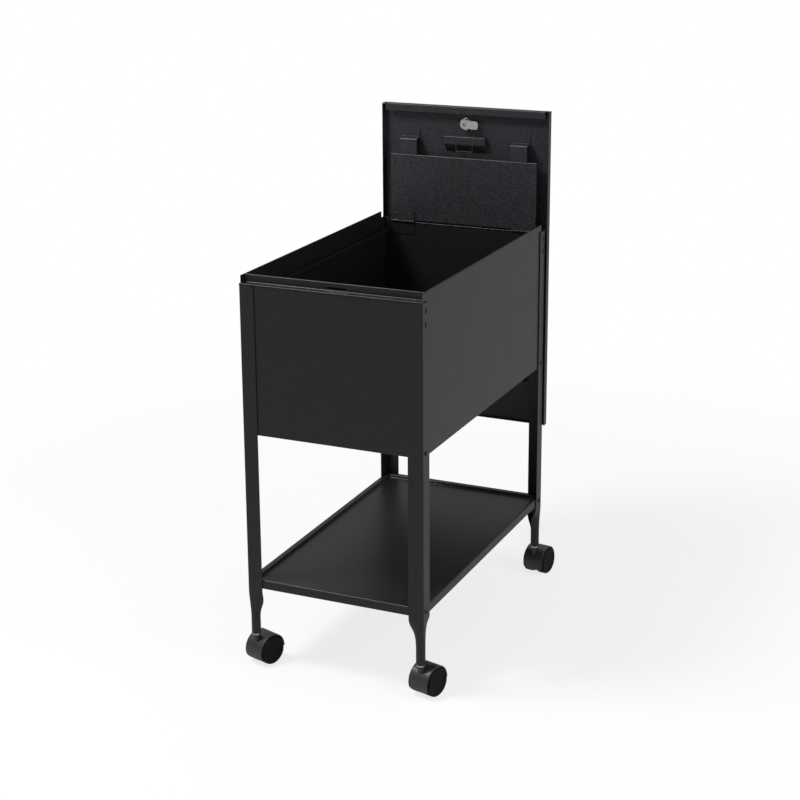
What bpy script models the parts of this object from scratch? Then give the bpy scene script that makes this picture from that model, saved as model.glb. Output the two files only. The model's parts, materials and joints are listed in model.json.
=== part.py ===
"""Mobile file cabinet: a folder tub on caster legs with a hinged, sliding, locking lid.

Metres, +Z up, floor at Z = 0. The front faces -Y and the lid hangs opened behind the tub.
While the pieces are made, X = 0 is the middle and Y = 0 the front face of the front legs.
The last step moves everything so that the origin is the middle of the footprint on the floor.
"""
import math

import bmesh
import bpy
from mathutils import Matrix, Vector

for old_object in list(bpy.data.objects):
    bpy.data.objects.remove(old_object, do_unlink=True)

MM = 0.001

# Driving sizes of the frame
FRAME_WIDTH = 343 * MM
FRAME_DEPTH = 600 * MM
RIM_HEIGHT = 731 * MM
LEDGE_DROP = 14 * MM
TUB_HEIGHT = 286 * MM
SHELF_HEIGHT = 171 * MM

# Sheet and gaps
SHEET = 1.0 * MM
SEAT = 0.3 * MM

# Legs
LEG_FLANGE = 28 * MM
LEG_WALL = 1.5 * MM
LEG_CORNER = 5 * MM
TAPER_LENGTH = 36 * MM
TAPER_DROP = 18 * MM
STEM_INSET = 9 * MM
SOCKET_BITE = 0.9 * MM
SOCKET_RISE = 7 * MM
SLOT_WIDTH = 4.5 * MM
SLOT_HEIGHT = 11 * MM
SLOT_DROPS = (14.5 * MM, 38.5 * MM)

# Tub
LEDGE_DEPTH = 12.7 * MM
HEM = 3 * MM
BEAD_DEPTH = 3.0 * MM
BEAD_HEIGHT = 2.4 * MM
WALL_SETBACK = 20 * MM
BACK_DROP = 1 * MM
FLOOR_FLANGE = 12 * MM
FLOOR_RISE = 1 * MM
RAIL_STANDOFF = 16.5 * MM
RAIL_DROP = 32 * MM
RAIL_LIP = 8 * MM
RAIL_WEB = 16 * MM
RAIL_END_GAP = 26 * MM

# Shelf
SHELF_EDGE = 16.5 * MM
SHELF_RIM = 12 * MM
SHELF_DISH = 6 * MM

# Screws
SCREW_HEAD = 4 * MM
SCREW_RISE = 2.2 * MM
SCREW_SHANK = 1.7 * MM
SCREW_HOLE = 2.1 * MM
SCREW_INSET = 13 * MM
TUB_SCREW_RISE = 7 * MM
SHELF_SCREW_DROP = 8.5 * MM

# Hinge
KNUCKLE_RADIUS = 2.4 * MM
BORE_RADIUS = 1.75 * MM
PIN_RADIUS = 1.4 * MM
LEAF_SHEET = 1.2 * MM
LEAF_WIDTH = 49 * MM
LEAF_HEIGHT = 26 * MM
LEAF_INSET = 0.5 * MM
KNUCKLE_SHARE = 0.34
HINGE_DROP = 5.5 * MM

# Carrier panel and its shoes
PANEL_SHEET = 1.2 * MM
PANEL_SIDE_GAP = 15.7 * MM
PANEL_RISE = 3 * MM
PANEL_HEIGHT = 132 * MM
PANEL_RETURN = 4.5 * MM
SHOE_LENGTH = 55 * MM
SHOE_DROP = 25 * MM

# Lid
LID_SIDE_GAP = 2 * MM
LID_FRONT_OVERHANG = 1.5 * MM
LID_REAR_OVERHANG = 26.5 * MM
LID_SEAT = 0.5 * MM
LID_LIP_GAP = 0.5 * MM
LIP_STRIP_GAP = 2 * MM
LIP_WALL_GAP = 2.2 * MM
LID_REAR_FLANGE = 8 * MM
STOP_GAP = 0.5 * MM
STOP_SHEET = 1.5 * MM
STOP_WIDTH = 35 * MM
STOP_FRONT = 30 * MM
STOP_TAB = 19 * MM
STOP_SETBACK = 68 * MM
GUIDE_INSET = 37.5 * MM
GUIDE_WIDTH = 30 * MM
GUIDE_SLOT = 14 * MM
GUIDE_FRONT = 6.5 * MM
GUIDE_CLEARANCE = 0.8 * MM
GUIDE_STOP_GAP = 4.5 * MM
GUIDE_END = 2.5 * MM

# Pull
PULL_WIDTH = 85 * MM
PULL_HEIGHT = 32 * MM
PULL_DEPTH = 13 * MM
PULL_FACE = 16 * MM
PULL_SETBACK = 58 * MM
PULL_WALL = 1.2 * MM

# Lock
LOCK_SETBACK = 34 * MM
LOCK_RADIUS = 9.5 * MM
LOCK_FLANGE = 11.5 * MM
PLUG_RADIUS = 5 * MM
NUT_RADIUS = 13 * MM
NUT_HEIGHT = 3 * MM
CAM_REACH = 28 * MM
CAM_WIDTH = 16 * MM
CAM_SHEET = 2 * MM
CAM_TILT = math.radians(-2)
TENON_RADIUS = 2.6 * MM
CAM_NUT_RADIUS = 4.6 * MM
CAM_NUT_HEIGHT = 1.6 * MM
KEEPER_WIDTH = 36 * MM
KEEPER_OFFSET = 8 * MM
KEEPER_PLAY = 1.2 * MM

# Casters
WHEEL_RADIUS = 26.5 * MM
WHEEL_OUTER = 23.5 * MM
WHEEL_GAP = 0.8 * MM
CASTER_TRAIL = 20 * MM
HOOD_WALL = 2.2 * MM
HOOD_GAP = 1.3 * MM
HOOD_INSET = 3 * MM
WEB_HALF = 5 * MM
HUB_RADIUS = 8 * MM
AXLE_RADIUS = 3 * MM
BOSS_RADIUS = 8 * MM
BOSS_HEIGHT = 20 * MM
STEM_RADIUS = 5 * MM
STEM_PIVOT = 3.6 * MM
RING_RADIUS = 7.4 * MM
RING_HEIGHT = 3 * MM
CASTER_HEADROOM = 6.5 * MM
HOOD_FRONT = math.radians(-28)
CASTER_TURN = {
    "front_left": math.radians(-19),
    "front_right": math.radians(-15),
    "rear_left": math.radians(-14),
    "rear_right": math.radians(-8),
}

# Sizes that follow from the ones above
HALF = FRAME_WIDTH / 2
WALL_OUT = HALF - LEG_WALL - SEAT
WALL_IN = WALL_OUT - SHEET
FIT_HALF = WALL_IN - SEAT
FRONT_OUT = LEG_WALL + SEAT
FRONT_IN = FRONT_OUT + SHEET
BACK_OUT = FRAME_DEPTH - LEG_WALL - SEAT
BACK_IN = BACK_OUT - SHEET
LEDGE_HEIGHT = RIM_HEIGHT - LEDGE_DROP
TUB_BASE = RIM_HEIGHT - TUB_HEIGHT
BACK_TOP = LEDGE_HEIGHT - BACK_DROP
STRIP_FRONT = FRONT_OUT + LEDGE_DEPTH
FRONT_LEG_TOP = LEDGE_HEIGHT - BEAD_HEIGHT - SEAT
SHELF_BASE = SHELF_HEIGHT - SHELF_EDGE
TAPER_TOP = SHELF_BASE - TAPER_DROP
TAPER_BASE = TAPER_TOP - TAPER_LENGTH
SOCKET_RADIUS = STEM_INSET - LEG_WALL + SOCKET_BITE
SOCKET_TOP = TAPER_BASE + SOCKET_RISE
FLARE_RADIUS = math.hypot(LEG_FLANGE - STEM_INSET, STEM_INSET) + SEAT
HINGE_Y = BACK_IN - SEAT - KNUCKLE_RADIUS
HINGE_Z = LEDGE_HEIGHT - HINGE_DROP
PANEL_HALF = WALL_IN - PANEL_SIDE_GAP
PANEL_TOP = PANEL_RISE + PANEL_HEIGHT
GUIDE_OFFSET = PANEL_HALF - GUIDE_INSET
LID_INNER = RIM_HEIGHT + LID_SEAT - HINGE_Z
LID_EDGE = LEDGE_HEIGHT + LID_LIP_GAP - HINGE_Z
LID_HALF = HALF + LID_SIDE_GAP + SHEET
LID_LENGTH = FRAME_DEPTH + LID_FRONT_OVERHANG + LID_REAR_OVERHANG
STOP_BASE = PANEL_TOP + STOP_GAP
STOP_SHELF = STOP_BASE + STOP_FRONT
LID_TOP = STOP_SHELF + STOP_SETBACK
LID_BASE = LID_TOP - LID_LENGTH
LID_TRAVEL = HINGE_Y + LID_FRONT_OVERHANG - LID_TOP
SHOE_TOP = PANEL_TOP - SHOE_DROP
SHOE_BASE = SHOE_TOP - SHOE_LENGTH
LIP_RETURN = STRIP_FRONT - LIP_STRIP_GAP + LID_FRONT_OVERHANG
LOCK_Z = LID_TOP - LOCK_SETBACK
CAM_NEAR = LID_EDGE + SHEET + 1.5 * MM
CAM_FAR = CAM_NEAR + CAM_SHEET
HOOD_INNER = WHEEL_RADIUS + HOOD_GAP
HOOD_OUTER = HOOD_INNER + HOOD_WALL
HOOD_HALF = WHEEL_OUTER - HOOD_INSET
WHEEL_INNER = WEB_HALF + WHEEL_GAP
FOOT_HEIGHT = WHEEL_RADIUS + HOOD_OUTER + CASTER_HEADROOM
RING_TOP = FOOT_HEIGHT - SEAT
RING_BASE = RING_TOP - RING_HEIGHT

parts = bpy.data.collections.new("mobile_file_cabinet")
tools = bpy.data.collections.new("cutters")
bpy.context.scene.collection.children.link(parts)
bpy.context.scene.collection.children.link(tools)


def paint(name, colour, roughness, metallic):
    material = bpy.data.materials.new(name)
    material.use_nodes = True
    shader = material.node_tree.nodes["Principled BSDF"]
    shader.inputs["Base Color"].default_value = (*colour, 1)
    shader.inputs["Roughness"].default_value = roughness
    shader.inputs["Metallic"].default_value = metallic
    material.diffuse_color = (*colour, 1)
    return material


FINISHES = {
    "black_coat": ((0.016, 0.016, 0.017), 0.45, 0.0),
    "lid_coat": ((0.024, 0.024, 0.026), 0.5, 0.0),
    "zinc_steel": ((0.62, 0.62, 0.60), 0.35, 1.0),
    "chrome": ((0.78, 0.78, 0.80), 0.12, 1.0),
    "black_plastic": ((0.022, 0.022, 0.024), 0.5, 0.0),
    "wheel_plastic": ((0.018, 0.018, 0.020), 0.6, 0.0),
}


def empty(name, parent, location=(0, 0, 0), turn=0.0):
    marker = bpy.data.objects.new(name, None)
    marker.empty_display_size = 0.05
    marker.location = location
    marker.rotation_euler.z = turn
    marker.parent = parent
    parts.objects.link(marker)
    return marker


def keep(name, mesh_data, finish, parent, location=(0, 0, 0)):
    """Put a finished mesh in the part, with a material of its own."""
    node = bpy.data.objects.new(name, mesh_data)
    node.data.materials.append(paint(name + "_" + finish, *FINISHES[finish]))
    node.location = location
    node.parent = parent
    parts.objects.link(node)
    return node


def helper(name, mesh_data, parent, location=(0, 0, 0)):
    """Put a mesh among the shapes that are only added to or cut from other pieces."""
    node = bpy.data.objects.new(name, mesh_data)
    node.location = location
    node.parent = parent
    node.hide_render = True
    node.display_type = "WIRE"
    tools.objects.link(node)
    return node


def combine(node, other, operation):
    step = node.modifiers.new(operation.lower(), "BOOLEAN")
    step.operation = operation
    step.solver = "EXACT"
    step.object = other


def to_mesh(name, shape):
    data = bpy.data.meshes.new(name)
    shape.to_mesh(data)
    shape.free()
    return data


def box(name, low, high):
    shape = bmesh.new()
    middle = (Vector(low) + Vector(high)) / 2
    size = Vector(high) - Vector(low)
    place = Matrix.Translation(middle) @ Matrix.Diagonal((*size, 1))
    bmesh.ops.create_cube(shape, size=1, matrix=place)
    return to_mesh(name, shape)


def prism(name, outline, lift):
    """Thicken a flat outline of 3-D points by the vector lift."""
    shape = bmesh.new()
    face = shape.faces.new([shape.verts.new(point) for point in outline])
    grown = bmesh.ops.extrude_face_region(shape, geom=[face])
    moved = [item for item in grown["geom"] if isinstance(item, bmesh.types.BMVert)]
    bmesh.ops.translate(shape, verts=moved, vec=lift)
    bmesh.ops.recalc_face_normals(shape, faces=shape.faces)
    return to_mesh(name, shape)


def rod(name, radius, start, end, sides=24):
    """A round bar between two points."""
    shape = bmesh.new()
    line = Vector(end) - Vector(start)
    turn = line.to_track_quat("Z", "Y").to_matrix().to_4x4()
    place = Matrix.Translation((Vector(start) + Vector(end)) / 2) @ turn
    bmesh.ops.create_cone(shape, cap_ends=True, segments=sides, radius1=radius, radius2=radius,
                          depth=line.length, matrix=place)
    return to_mesh(name, shape)


def folded(name, profile, sweep, thickness, grow):
    """Sheet folded along a line of points, swept sideways, whose first face grows towards grow."""
    shape = bmesh.new()
    line = [shape.verts.new(point) for point in profile]
    edges = [shape.edges.new(pair) for pair in zip(line, line[1:])]
    grown = bmesh.ops.extrude_edge_only(shape, edges=edges)
    moved = [item for item in grown["geom"] if isinstance(item, bmesh.types.BMVert)]
    bmesh.ops.translate(shape, verts=moved, vec=sweep)
    bmesh.ops.recalc_face_normals(shape, faces=shape.faces)
    first = edges[0].link_faces[0]
    if first.normal.dot(Vector(grow)) > 0:
        bmesh.ops.reverse_faces(shape, faces=shape.faces)
    thicken(shape, thickness)
    return to_mesh(name, shape)


def thicken(shape, thickness):
    """Turn an open surface into sheet, growing away from its normals."""
    bmesh.ops.solidify(shape, geom=shape.faces, thickness=thickness)
    bmesh.ops.recalc_face_normals(shape, faces=shape.faces)


def turned(node, sides):
    """Spin the profile that a node holds round its own Z axis."""
    spin = node.modifiers.new("spin", "SCREW")
    spin.axis = "Z"
    spin.angle = 2 * math.pi
    spin.steps = sides
    spin.render_steps = sides
    spin.use_merge_vertices = True
    spin.merge_threshold = 0.00001
    return node


def profile_mesh(name, profile, closed=False):
    shape = bmesh.new()
    line = [shape.verts.new((radius, 0, height)) for radius, height in profile]
    for pair in zip(line, line[1:]):
        shape.edges.new(pair)
    if closed:
        shape.edges.new((line[-1], line[0]))
    return to_mesh(name, shape)


def arc(middle, radius, start, end, steps):
    """Points of a round stretch, as pairs."""
    turns = [start + (end - start) * step / steps for step in range(steps + 1)]
    return [(middle[0] + radius * math.cos(turn), middle[1] + radius * math.sin(turn)) for turn in turns]


cabinet = empty("cabinet", None)


# Legs: an angle that narrows into a round socket for the caster's stem
def leg_outline(top):
    """Outline of one flange as (distance from the corner, height), without the corner's own ends."""
    corner = (LEG_FLANGE - LEG_CORNER, top - LEG_CORNER)
    return [(LEG_FLANGE, TAPER_BASE)] + arc(corner, LEG_CORNER, 0, math.pi / 2, 5)


def taper_cutter(name):
    """A ring round the socket whose hole widens upwards, which cuts the angle to the leg's taper."""
    narrow = SOCKET_RADIUS + SEAT
    outside = 2 * FLARE_RADIUS
    below = TAPER_BASE - TAPER_LENGTH / 8
    profile = [(narrow, below)]
    for step in range(9):
        share = step / 8
        ease = share * share * (3 - 2 * share)
        profile.append((narrow + (FLARE_RADIUS - narrow) * ease, TAPER_BASE + TAPER_LENGTH * share))
    profile += [(outside, TAPER_TOP), (outside, below)]
    return profile_mesh(name, profile, closed=True)


def leg(name, side, rear):
    top = LEDGE_HEIGHT if rear else FRONT_LEG_TOP
    corner_y = FRAME_DEPTH if rear else 0
    inward = -1 if rear else 1
    shape = bmesh.new()
    foot = shape.verts.new((side * HALF, corner_y, TAPER_BASE))
    head = shape.verts.new((side * HALF, corner_y, top))
    across = [shape.verts.new((side * (HALF - u), corner_y, z)) for u, z in leg_outline(top)]
    along = [shape.verts.new((side * HALF, corner_y + inward * u, z)) for u, z in leg_outline(top)]
    for line, outward in ((across, (0, -inward, 0)), (along, (side, 0, 0))):
        face = shape.faces.new([foot] + line + [head])
        face.normal_update()
        if face.normal.dot(Vector(outward)) < 0:
            face.normal_flip()
    thicken(shape, LEG_WALL)
    node = keep(name, to_mesh(name, shape), "black_coat", cabinet)
    stem = stem_place(side, rear)
    low = Vector((stem[0], stem[1], FOOT_HEIGHT))
    high = Vector((stem[0], stem[1], SOCKET_TOP))
    taper = turned(helper(name + "_taper", taper_cutter(name), cabinet, (*stem, 0)), 40)
    combine(node, taper, "DIFFERENCE")
    combine(node, helper(name + "_socket", rod(name, SOCKET_RADIUS, low, high), cabinet), "UNION")
    deep = Vector((stem[0], stem[1], SOCKET_TOP - 6 * MM))
    below = low - Vector((0, 0, 5 * MM))
    combine(node, helper(name + "_bore", rod(name, STEM_RADIUS + SEAT, below, deep), cabinet), "DIFFERENCE")
    for drop in SLOT_DROPS:
        middle = (corner_y + inward * LEG_FLANGE / 2, top - drop)
        straight = (SLOT_HEIGHT - SLOT_WIDTH) / 2
        ends = arc((middle[0], middle[1] + straight), SLOT_WIDTH / 2, 0, math.pi, 6)
        ends += arc((middle[0], middle[1] - straight), SLOT_WIDTH / 2, math.pi, 2 * math.pi, 6)
        outline = [(side * (HALF + LEG_WALL), y, z) for y, z in ends]
        cutter = prism(name, outline, (-side * 3 * LEG_WALL, 0, 0))
        combine(node, helper(name + "_slot", cutter, cabinet), "DIFFERENCE")
    return node


def stem_place(side, rear):
    return side * (HALF - STEM_INSET), FRAME_DEPTH - STEM_INSET if rear else STEM_INSET


CORNERS = {
    "front_left": (-1, False),
    "front_right": (1, False),
    "rear_left": (-1, True),
    "rear_right": (1, True),
}
legs = {corner: leg("leg_" + corner, *where) for corner, where in CORNERS.items()}

# Tub: folded front with a ledge and a raised strip, flat sides and back, and a tray for a floor
front_profile = [
    (FRONT_OUT, TUB_BASE),
    (FRONT_OUT, LEDGE_HEIGHT),
    (STRIP_FRONT, LEDGE_HEIGHT),
    (STRIP_FRONT, RIM_HEIGHT),
    (STRIP_FRONT + HEM, RIM_HEIGHT),
]
tub_front = keep(
    "tub_front",
    folded("tub_front", [(-FIT_HALF, y, z) for y, z in front_profile], (2 * FIT_HALF, 0, 0), SHEET, (0, 1, 0)),
    "black_coat", cabinet)
bead_base = LEDGE_HEIGHT - BEAD_HEIGHT
bead_round = arc((BEAD_DEPTH / 2, bead_base + BEAD_HEIGHT / 2), BEAD_HEIGHT / 2, math.pi / 2, 1.5 * math.pi, 6)
bead_outline = [(BEAD_DEPTH, bead_base), (BEAD_DEPTH, LEDGE_HEIGHT - 0.1 * MM)]
bead_outline += [(y - (BEAD_DEPTH - BEAD_HEIGHT) / 2, z) for y, z in bead_round]
bead = prism("bead", [(-HALF, y, z) for y, z in bead_outline], (2 * HALF, 0, 0))
combine(tub_front, helper("tub_front_bead", bead, cabinet), "UNION")
keeper_low = HINGE_Z + CAM_NEAR - KEEPER_PLAY
keeper_high = HINGE_Z + CAM_FAR + KEEPER_PLAY
keeper = box("keeper", (KEEPER_OFFSET - KEEPER_WIDTH / 2, STRIP_FRONT - SHEET, keeper_low),
             (KEEPER_OFFSET + KEEPER_WIDTH / 2, STRIP_FRONT + 2 * SHEET, keeper_high))
combine(tub_front, helper("tub_front_keeper", keeper, cabinet), "DIFFERENCE")

wall_front = BEAD_DEPTH + SEAT
wall_outline = [
    (wall_front, TUB_BASE),
    (BACK_OUT, TUB_BASE),
    (BACK_OUT, BACK_TOP - 3 * MM),
    (FRAME_DEPTH - WALL_SETBACK, BACK_TOP - 3 * MM),
    (FRAME_DEPTH - WALL_SETBACK, RIM_HEIGHT),
    (wall_front, RIM_HEIGHT),
]
walls = {}
for label, side in (("left", -1), ("right", 1)):
    outline = [(side * WALL_IN, y, z) for y, z in wall_outline]
    walls[side] = keep("tub_" + label, prism("tub_" + label, outline, (side * SHEET, 0, 0)), "black_coat", cabinet)

keep("tub_back", box("tub_back", (-FIT_HALF, BACK_IN, TUB_BASE), (FIT_HALF, BACK_OUT, BACK_TOP)),
     "black_coat", cabinet)


def rectangle(half_x, low_y, high_y, z):
    return [(-half_x, low_y, z), (half_x, low_y, z), (half_x, high_y, z), (-half_x, high_y, z)]


def tray(name, rings, thickness, finish, parent):
    """Sheet drawn through a row of rectangles, closed across the last one."""
    shape = bmesh.new()
    loops = [[shape.verts.new(point) for point in ring] for ring in rings]
    for outer, inner in zip(loops, loops[1:]):
        for step in range(4):
            after = (step + 1) % 4
            shape.faces.new((outer[step], outer[after], inner[after], inner[step]))
    shape.faces.new(loops[-1])
    bmesh.ops.recalc_face_normals(shape, faces=shape.faces)
    flat = shape.faces[:][-1]
    shape.faces.ensure_lookup_table()
    if flat.normal.z < 0:
        bmesh.ops.reverse_faces(shape, faces=shape.faces)
    thicken(shape, thickness)
    return keep(name, to_mesh(name, shape), finish, parent)


floor_front = FRONT_IN + SEAT
floor_back = BACK_IN - SEAT
floor_top = TUB_BASE + FLOOR_RISE + SHEET
tray("tub_floor",
     [rectangle(FIT_HALF - SHEET, floor_front + SHEET, floor_back - SHEET, floor_top + FLOOR_FLANGE),
      rectangle(FIT_HALF - SHEET, floor_front + SHEET, floor_back - SHEET, floor_top)],
     SHEET, "black_coat", cabinet)

for label, side in (("left", -1), ("right", 1)):
    rail_top = RIM_HEIGHT - RAIL_DROP
    rail_shelf = rail_top - RAIL_LIP
    lip_x = WALL_IN - RAIL_STANDOFF
    rail_profile = [
        (FIT_HALF, rail_shelf - RAIL_WEB),
        (FIT_HALF, rail_shelf),
        (lip_x, rail_shelf),
        (lip_x, rail_top),
    ]
    rail_front = STRIP_FRONT + RAIL_END_GAP
    rail_back = BACK_IN - RAIL_END_GAP
    points = [(side * x, rail_front, z) for x, z in rail_profile]
    keep("folder_rail_" + label,
         folded("folder_rail", points, (0, rail_back - rail_front, 0), SHEET, (-side, 0, 0)),
         "black_coat", cabinet)

# Lower shelf: turned-down edge, flat rim and a dished floor
shelf_floor = SHELF_HEIGHT - SHELF_DISH
shelf = tray("lower_shelf",
             [rectangle(WALL_OUT, FRONT_OUT, BACK_OUT, SHELF_BASE),
              rectangle(WALL_OUT, FRONT_OUT, BACK_OUT, SHELF_HEIGHT),
              rectangle(WALL_OUT - SHELF_RIM, FRONT_OUT + SHELF_RIM, BACK_OUT - SHELF_RIM, SHELF_HEIGHT),
              rectangle(WALL_OUT - SHELF_RIM, FRONT_OUT + SHELF_RIM, BACK_OUT - SHELF_RIM, shelf_floor)],
             SHEET, "black_coat", cabinet)

# Screws hold the tub and the shelf to each leg
screw_profile = [
    (0, SCREW_RISE),
    (SCREW_HEAD * 0.55, SCREW_RISE * 0.86),
    (SCREW_HEAD * 0.9, SCREW_RISE * 0.45),
    (SCREW_HEAD, 0),
    (SCREW_SHANK, 0),
    (SCREW_SHANK, -(LEG_WALL + SEAT + SHEET * 0.8)),
    (0, -(LEG_WALL + SEAT + SHEET * 0.8)),
]
for corner, (side, rear) in CORNERS.items():
    screw_y = FRAME_DEPTH - SCREW_INSET if rear else SCREW_INSET
    for label, height, sheet in (("tub", TUB_BASE + TUB_SCREW_RISE, walls[side]),
                                 ("shelf", SHELF_HEIGHT - SHELF_SCREW_DROP, shelf)):
        name = "screw_" + label + "_" + corner
        screw = keep(name, profile_mesh(name, screw_profile), "black_coat", cabinet,
                     (side * (HALF + SEAT), screw_y, height))
        screw.rotation_euler.y = side * math.pi / 2
        turned(screw, 16)
        hole = rod(name, SCREW_HOLE, (side * (WALL_IN - SEAT / 2), screw_y, height),
                   (side * (HALF + LEG_WALL), screw_y, height), 16)
        hole = helper(name + "_hole", hole, cabinet)
        combine(legs[corner], hole, "DIFFERENCE")
        combine(sheet, hole, "DIFFERENCE")

# Everything that swings with the carrier panel is measured from the hinge's axis
hinge = empty("lid_hinge", cabinet, (0, HINGE_Y, HINGE_Z))
slide = empty("lid_slide", hinge)

for label, side in (("left", -1), ("right", 1)):
    outer = PANEL_HALF - LEAF_INSET
    inner = outer - LEAF_WIDTH
    split = outer - LEAF_WIDTH * KNUCKLE_SHARE
    leaf_front = KNUCKLE_RADIUS - LEAF_SHEET
    clear = KNUCKLE_RADIUS + SEAT

    name = "hinge_fixed_leaf_" + label
    fixed = keep(name, prism(name, [
        (side * outer, leaf_front, -LEAF_HEIGHT),
        (side * outer, leaf_front, 0),
        (side * (split + SEAT / 2), leaf_front, 0),
        (side * (split + SEAT / 2), leaf_front, -clear),
        (side * inner, leaf_front, -clear),
        (side * inner, leaf_front, -LEAF_HEIGHT),
    ], (0, LEAF_SHEET, 0)), "black_coat", cabinet, (0, HINGE_Y, HINGE_Z))
    knuckle = rod(name, KNUCKLE_RADIUS, (side * (split + SEAT / 2), 0, 0), (side * outer, 0, 0), 20)
    combine(fixed, helper(name + "_knuckle", knuckle, hinge), "UNION")
    bore = rod(name, BORE_RADIUS, (side * (inner - SHEET), 0, 0), (side * (outer + SHEET), 0, 0), 20)
    bore = helper(name + "_bore", bore, hinge)
    combine(fixed, bore, "DIFFERENCE")

    name = "hinge_moving_leaf_" + label
    leaf_back = -SEAT
    moving = keep(name, prism(name, [
        (side * outer, leaf_back, LEAF_HEIGHT),
        (side * outer, leaf_back, clear),
        (side * (split - SEAT / 2), leaf_back, clear),
        (side * (split - SEAT / 2), leaf_back, 0.8 * KNUCKLE_RADIUS),
        (side * inner, leaf_back, 0.8 * KNUCKLE_RADIUS),
        (side * inner, leaf_back, LEAF_HEIGHT),
    ], (0, -LEAF_SHEET, 0)), "black_coat", hinge)
    knuckle = rod(name, KNUCKLE_RADIUS, (side * inner, 0, 0), (side * (split - SEAT / 2), 0, 0), 20)
    combine(moving, helper(name + "_knuckle", knuckle, hinge), "UNION")
    combine(moving, bore, "DIFFERENCE")

    name = "hinge_pin_" + label
    pin = rod(name, PIN_RADIUS, (side * inner, 0, 0), (side * outer, 0, 0), 16)
    keep(name, pin, "zinc_steel", cabinet, (0, HINGE_Y, HINGE_Z))

panel_profile = [(0, PANEL_RISE), (0, PANEL_TOP), (PANEL_RETURN, PANEL_TOP)]
keep("carrier_panel",
     folded("carrier_panel", [(-PANEL_HALF, y, z) for y, z in panel_profile], (2 * PANEL_HALF, 0, 0),
            PANEL_SHEET, (0, 1, 0)),
     "black_coat", hinge)

# Lid: pan, guides that ride on the shoes, and stop brackets that land on the panel
lid_skin = LID_INNER + SHEET
lip_half = WALL_IN - LIP_WALL_GAP
lid = keep("lid_pan", box("lid_pan", (-LID_HALF, LID_INNER, LID_BASE), (LID_HALF, lid_skin, LID_TOP)),
           "lid_coat", slide)
flanges = {
    "left": ((-LID_HALF, LID_EDGE, LID_BASE), (-LID_HALF + SHEET, lid_skin, LID_TOP)),
    "right": ((LID_HALF - SHEET, LID_EDGE, LID_BASE), (LID_HALF, lid_skin, LID_TOP)),
    "front": ((-lip_half, LID_EDGE, LID_TOP - SHEET), (lip_half, lid_skin, LID_TOP)),
    "lip": ((-lip_half, LID_EDGE, LID_TOP - LIP_RETURN), (lip_half, LID_EDGE + SHEET, LID_TOP)),
    "rear": ((-LID_HALF, LID_INNER - LID_REAR_FLANGE, LID_BASE), (LID_HALF, lid_skin, LID_BASE + SHEET)),
}
for label, (low, high) in flanges.items():
    combine(lid, helper("lid_pan_" + label, box(label, low, high), slide), "UNION")

guide_back = LID_INNER - SEAT
guide_top = STOP_SHELF - STOP_FRONT - GUIDE_STOP_GAP + STOP_GAP
guide_base = SHOE_BASE - LID_TRAVEL - GUIDE_END
for label, side in (("left", -1), ("right", 1)):
    middle = side * GUIDE_OFFSET
    near = GUIDE_FRONT
    guide_profile = [
        (middle - GUIDE_SLOT / 2, near),
        (middle - GUIDE_WIDTH / 2, near),
        (middle - GUIDE_WIDTH / 2, guide_back),
        (middle + GUIDE_WIDTH / 2, guide_back),
        (middle + GUIDE_WIDTH / 2, near),
        (middle + GUIDE_SLOT / 2, near),
    ]
    name = "lid_guide_" + label
    keep(name, folded(name, [(x, y, guide_base) for x, y in guide_profile],
                      (0, 0, guide_top - guide_base), SHEET, (0, 1, 0)), "lid_coat", slide)

    name = "slide_shoe_" + label
    play = GUIDE_CLEARANCE
    head_near = near + SHEET + play
    head_far = guide_back - SHEET - play
    head_half = GUIDE_WIDTH / 2 - SHEET - play
    neck_half = GUIDE_SLOT / 2 - play
    shoe = keep(name, box(name, (middle - head_half, head_near, SHOE_BASE), (middle + head_half, head_far, SHOE_TOP)),
                "black_plastic", hinge)
    neck = box(name, (middle - neck_half, PANEL_SHEET + SEAT, SHOE_BASE),
               (middle + neck_half, head_far, SHOE_TOP))
    combine(shoe, helper(name + "_neck", neck, hinge), "UNION")

    name = "stop_bracket_" + label
    stop_profile = [
        (LID_INNER - SEAT, STOP_SHELF + STOP_TAB),
        (LID_INNER - SEAT, STOP_SHELF),
        (STOP_SHEET, STOP_SHELF),
        (STOP_SHEET, STOP_BASE),
    ]
    start = middle - STOP_WIDTH / 2
    keep(name, folded(name, [(start, y, z) for y, z in stop_profile], (STOP_WIDTH, 0, 0),
                      STOP_SHEET, (0, -1, 0)), "lid_coat", slide)

# Pull: a wedge-shaped cup behind a window in the lid
pull_top = LID_TOP - PULL_SETBACK
pull_seat = LID_INNER - SEAT
pull_near = pull_seat - PULL_DEPTH


def pull_wedge(wall, back):
    low = pull_top - PULL_HEIGHT + wall
    return [
        (back, pull_top - wall),
        (pull_near + wall, pull_top - wall),
        (pull_near + wall, pull_top - PULL_FACE),
        (pull_seat, low),
        (back, low),
    ]


pull_half = PULL_WIDTH / 2
pull = keep("lid_pull", prism("lid_pull", [(-pull_half, y, z) for y, z in pull_wedge(0, pull_seat)[:4]],
                              (PULL_WIDTH, 0, 0)), "lid_coat", slide)
hollow_half = pull_half - PULL_WALL
hollow = prism("pull_hollow", [(-hollow_half, y, z) for y, z in pull_wedge(2 * PULL_WALL, lid_skin + PULL_WALL)],
               (2 * hollow_half, 0, 0))
hollow = helper("lid_pull_hollow", hollow, slide)
combine(pull, hollow, "DIFFERENCE")
combine(lid, hollow, "DIFFERENCE")

# Lock: barrel and ring nut stay with the lid, plug, cam and cam nut turn
lock = empty("lock_turn", slide, (0, 0, LOCK_Z))


def across_lid(node):
    """Lay a turned piece along the lid's thickness, with its top on the outer side."""
    node.rotation_euler.x = -math.pi / 2


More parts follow.
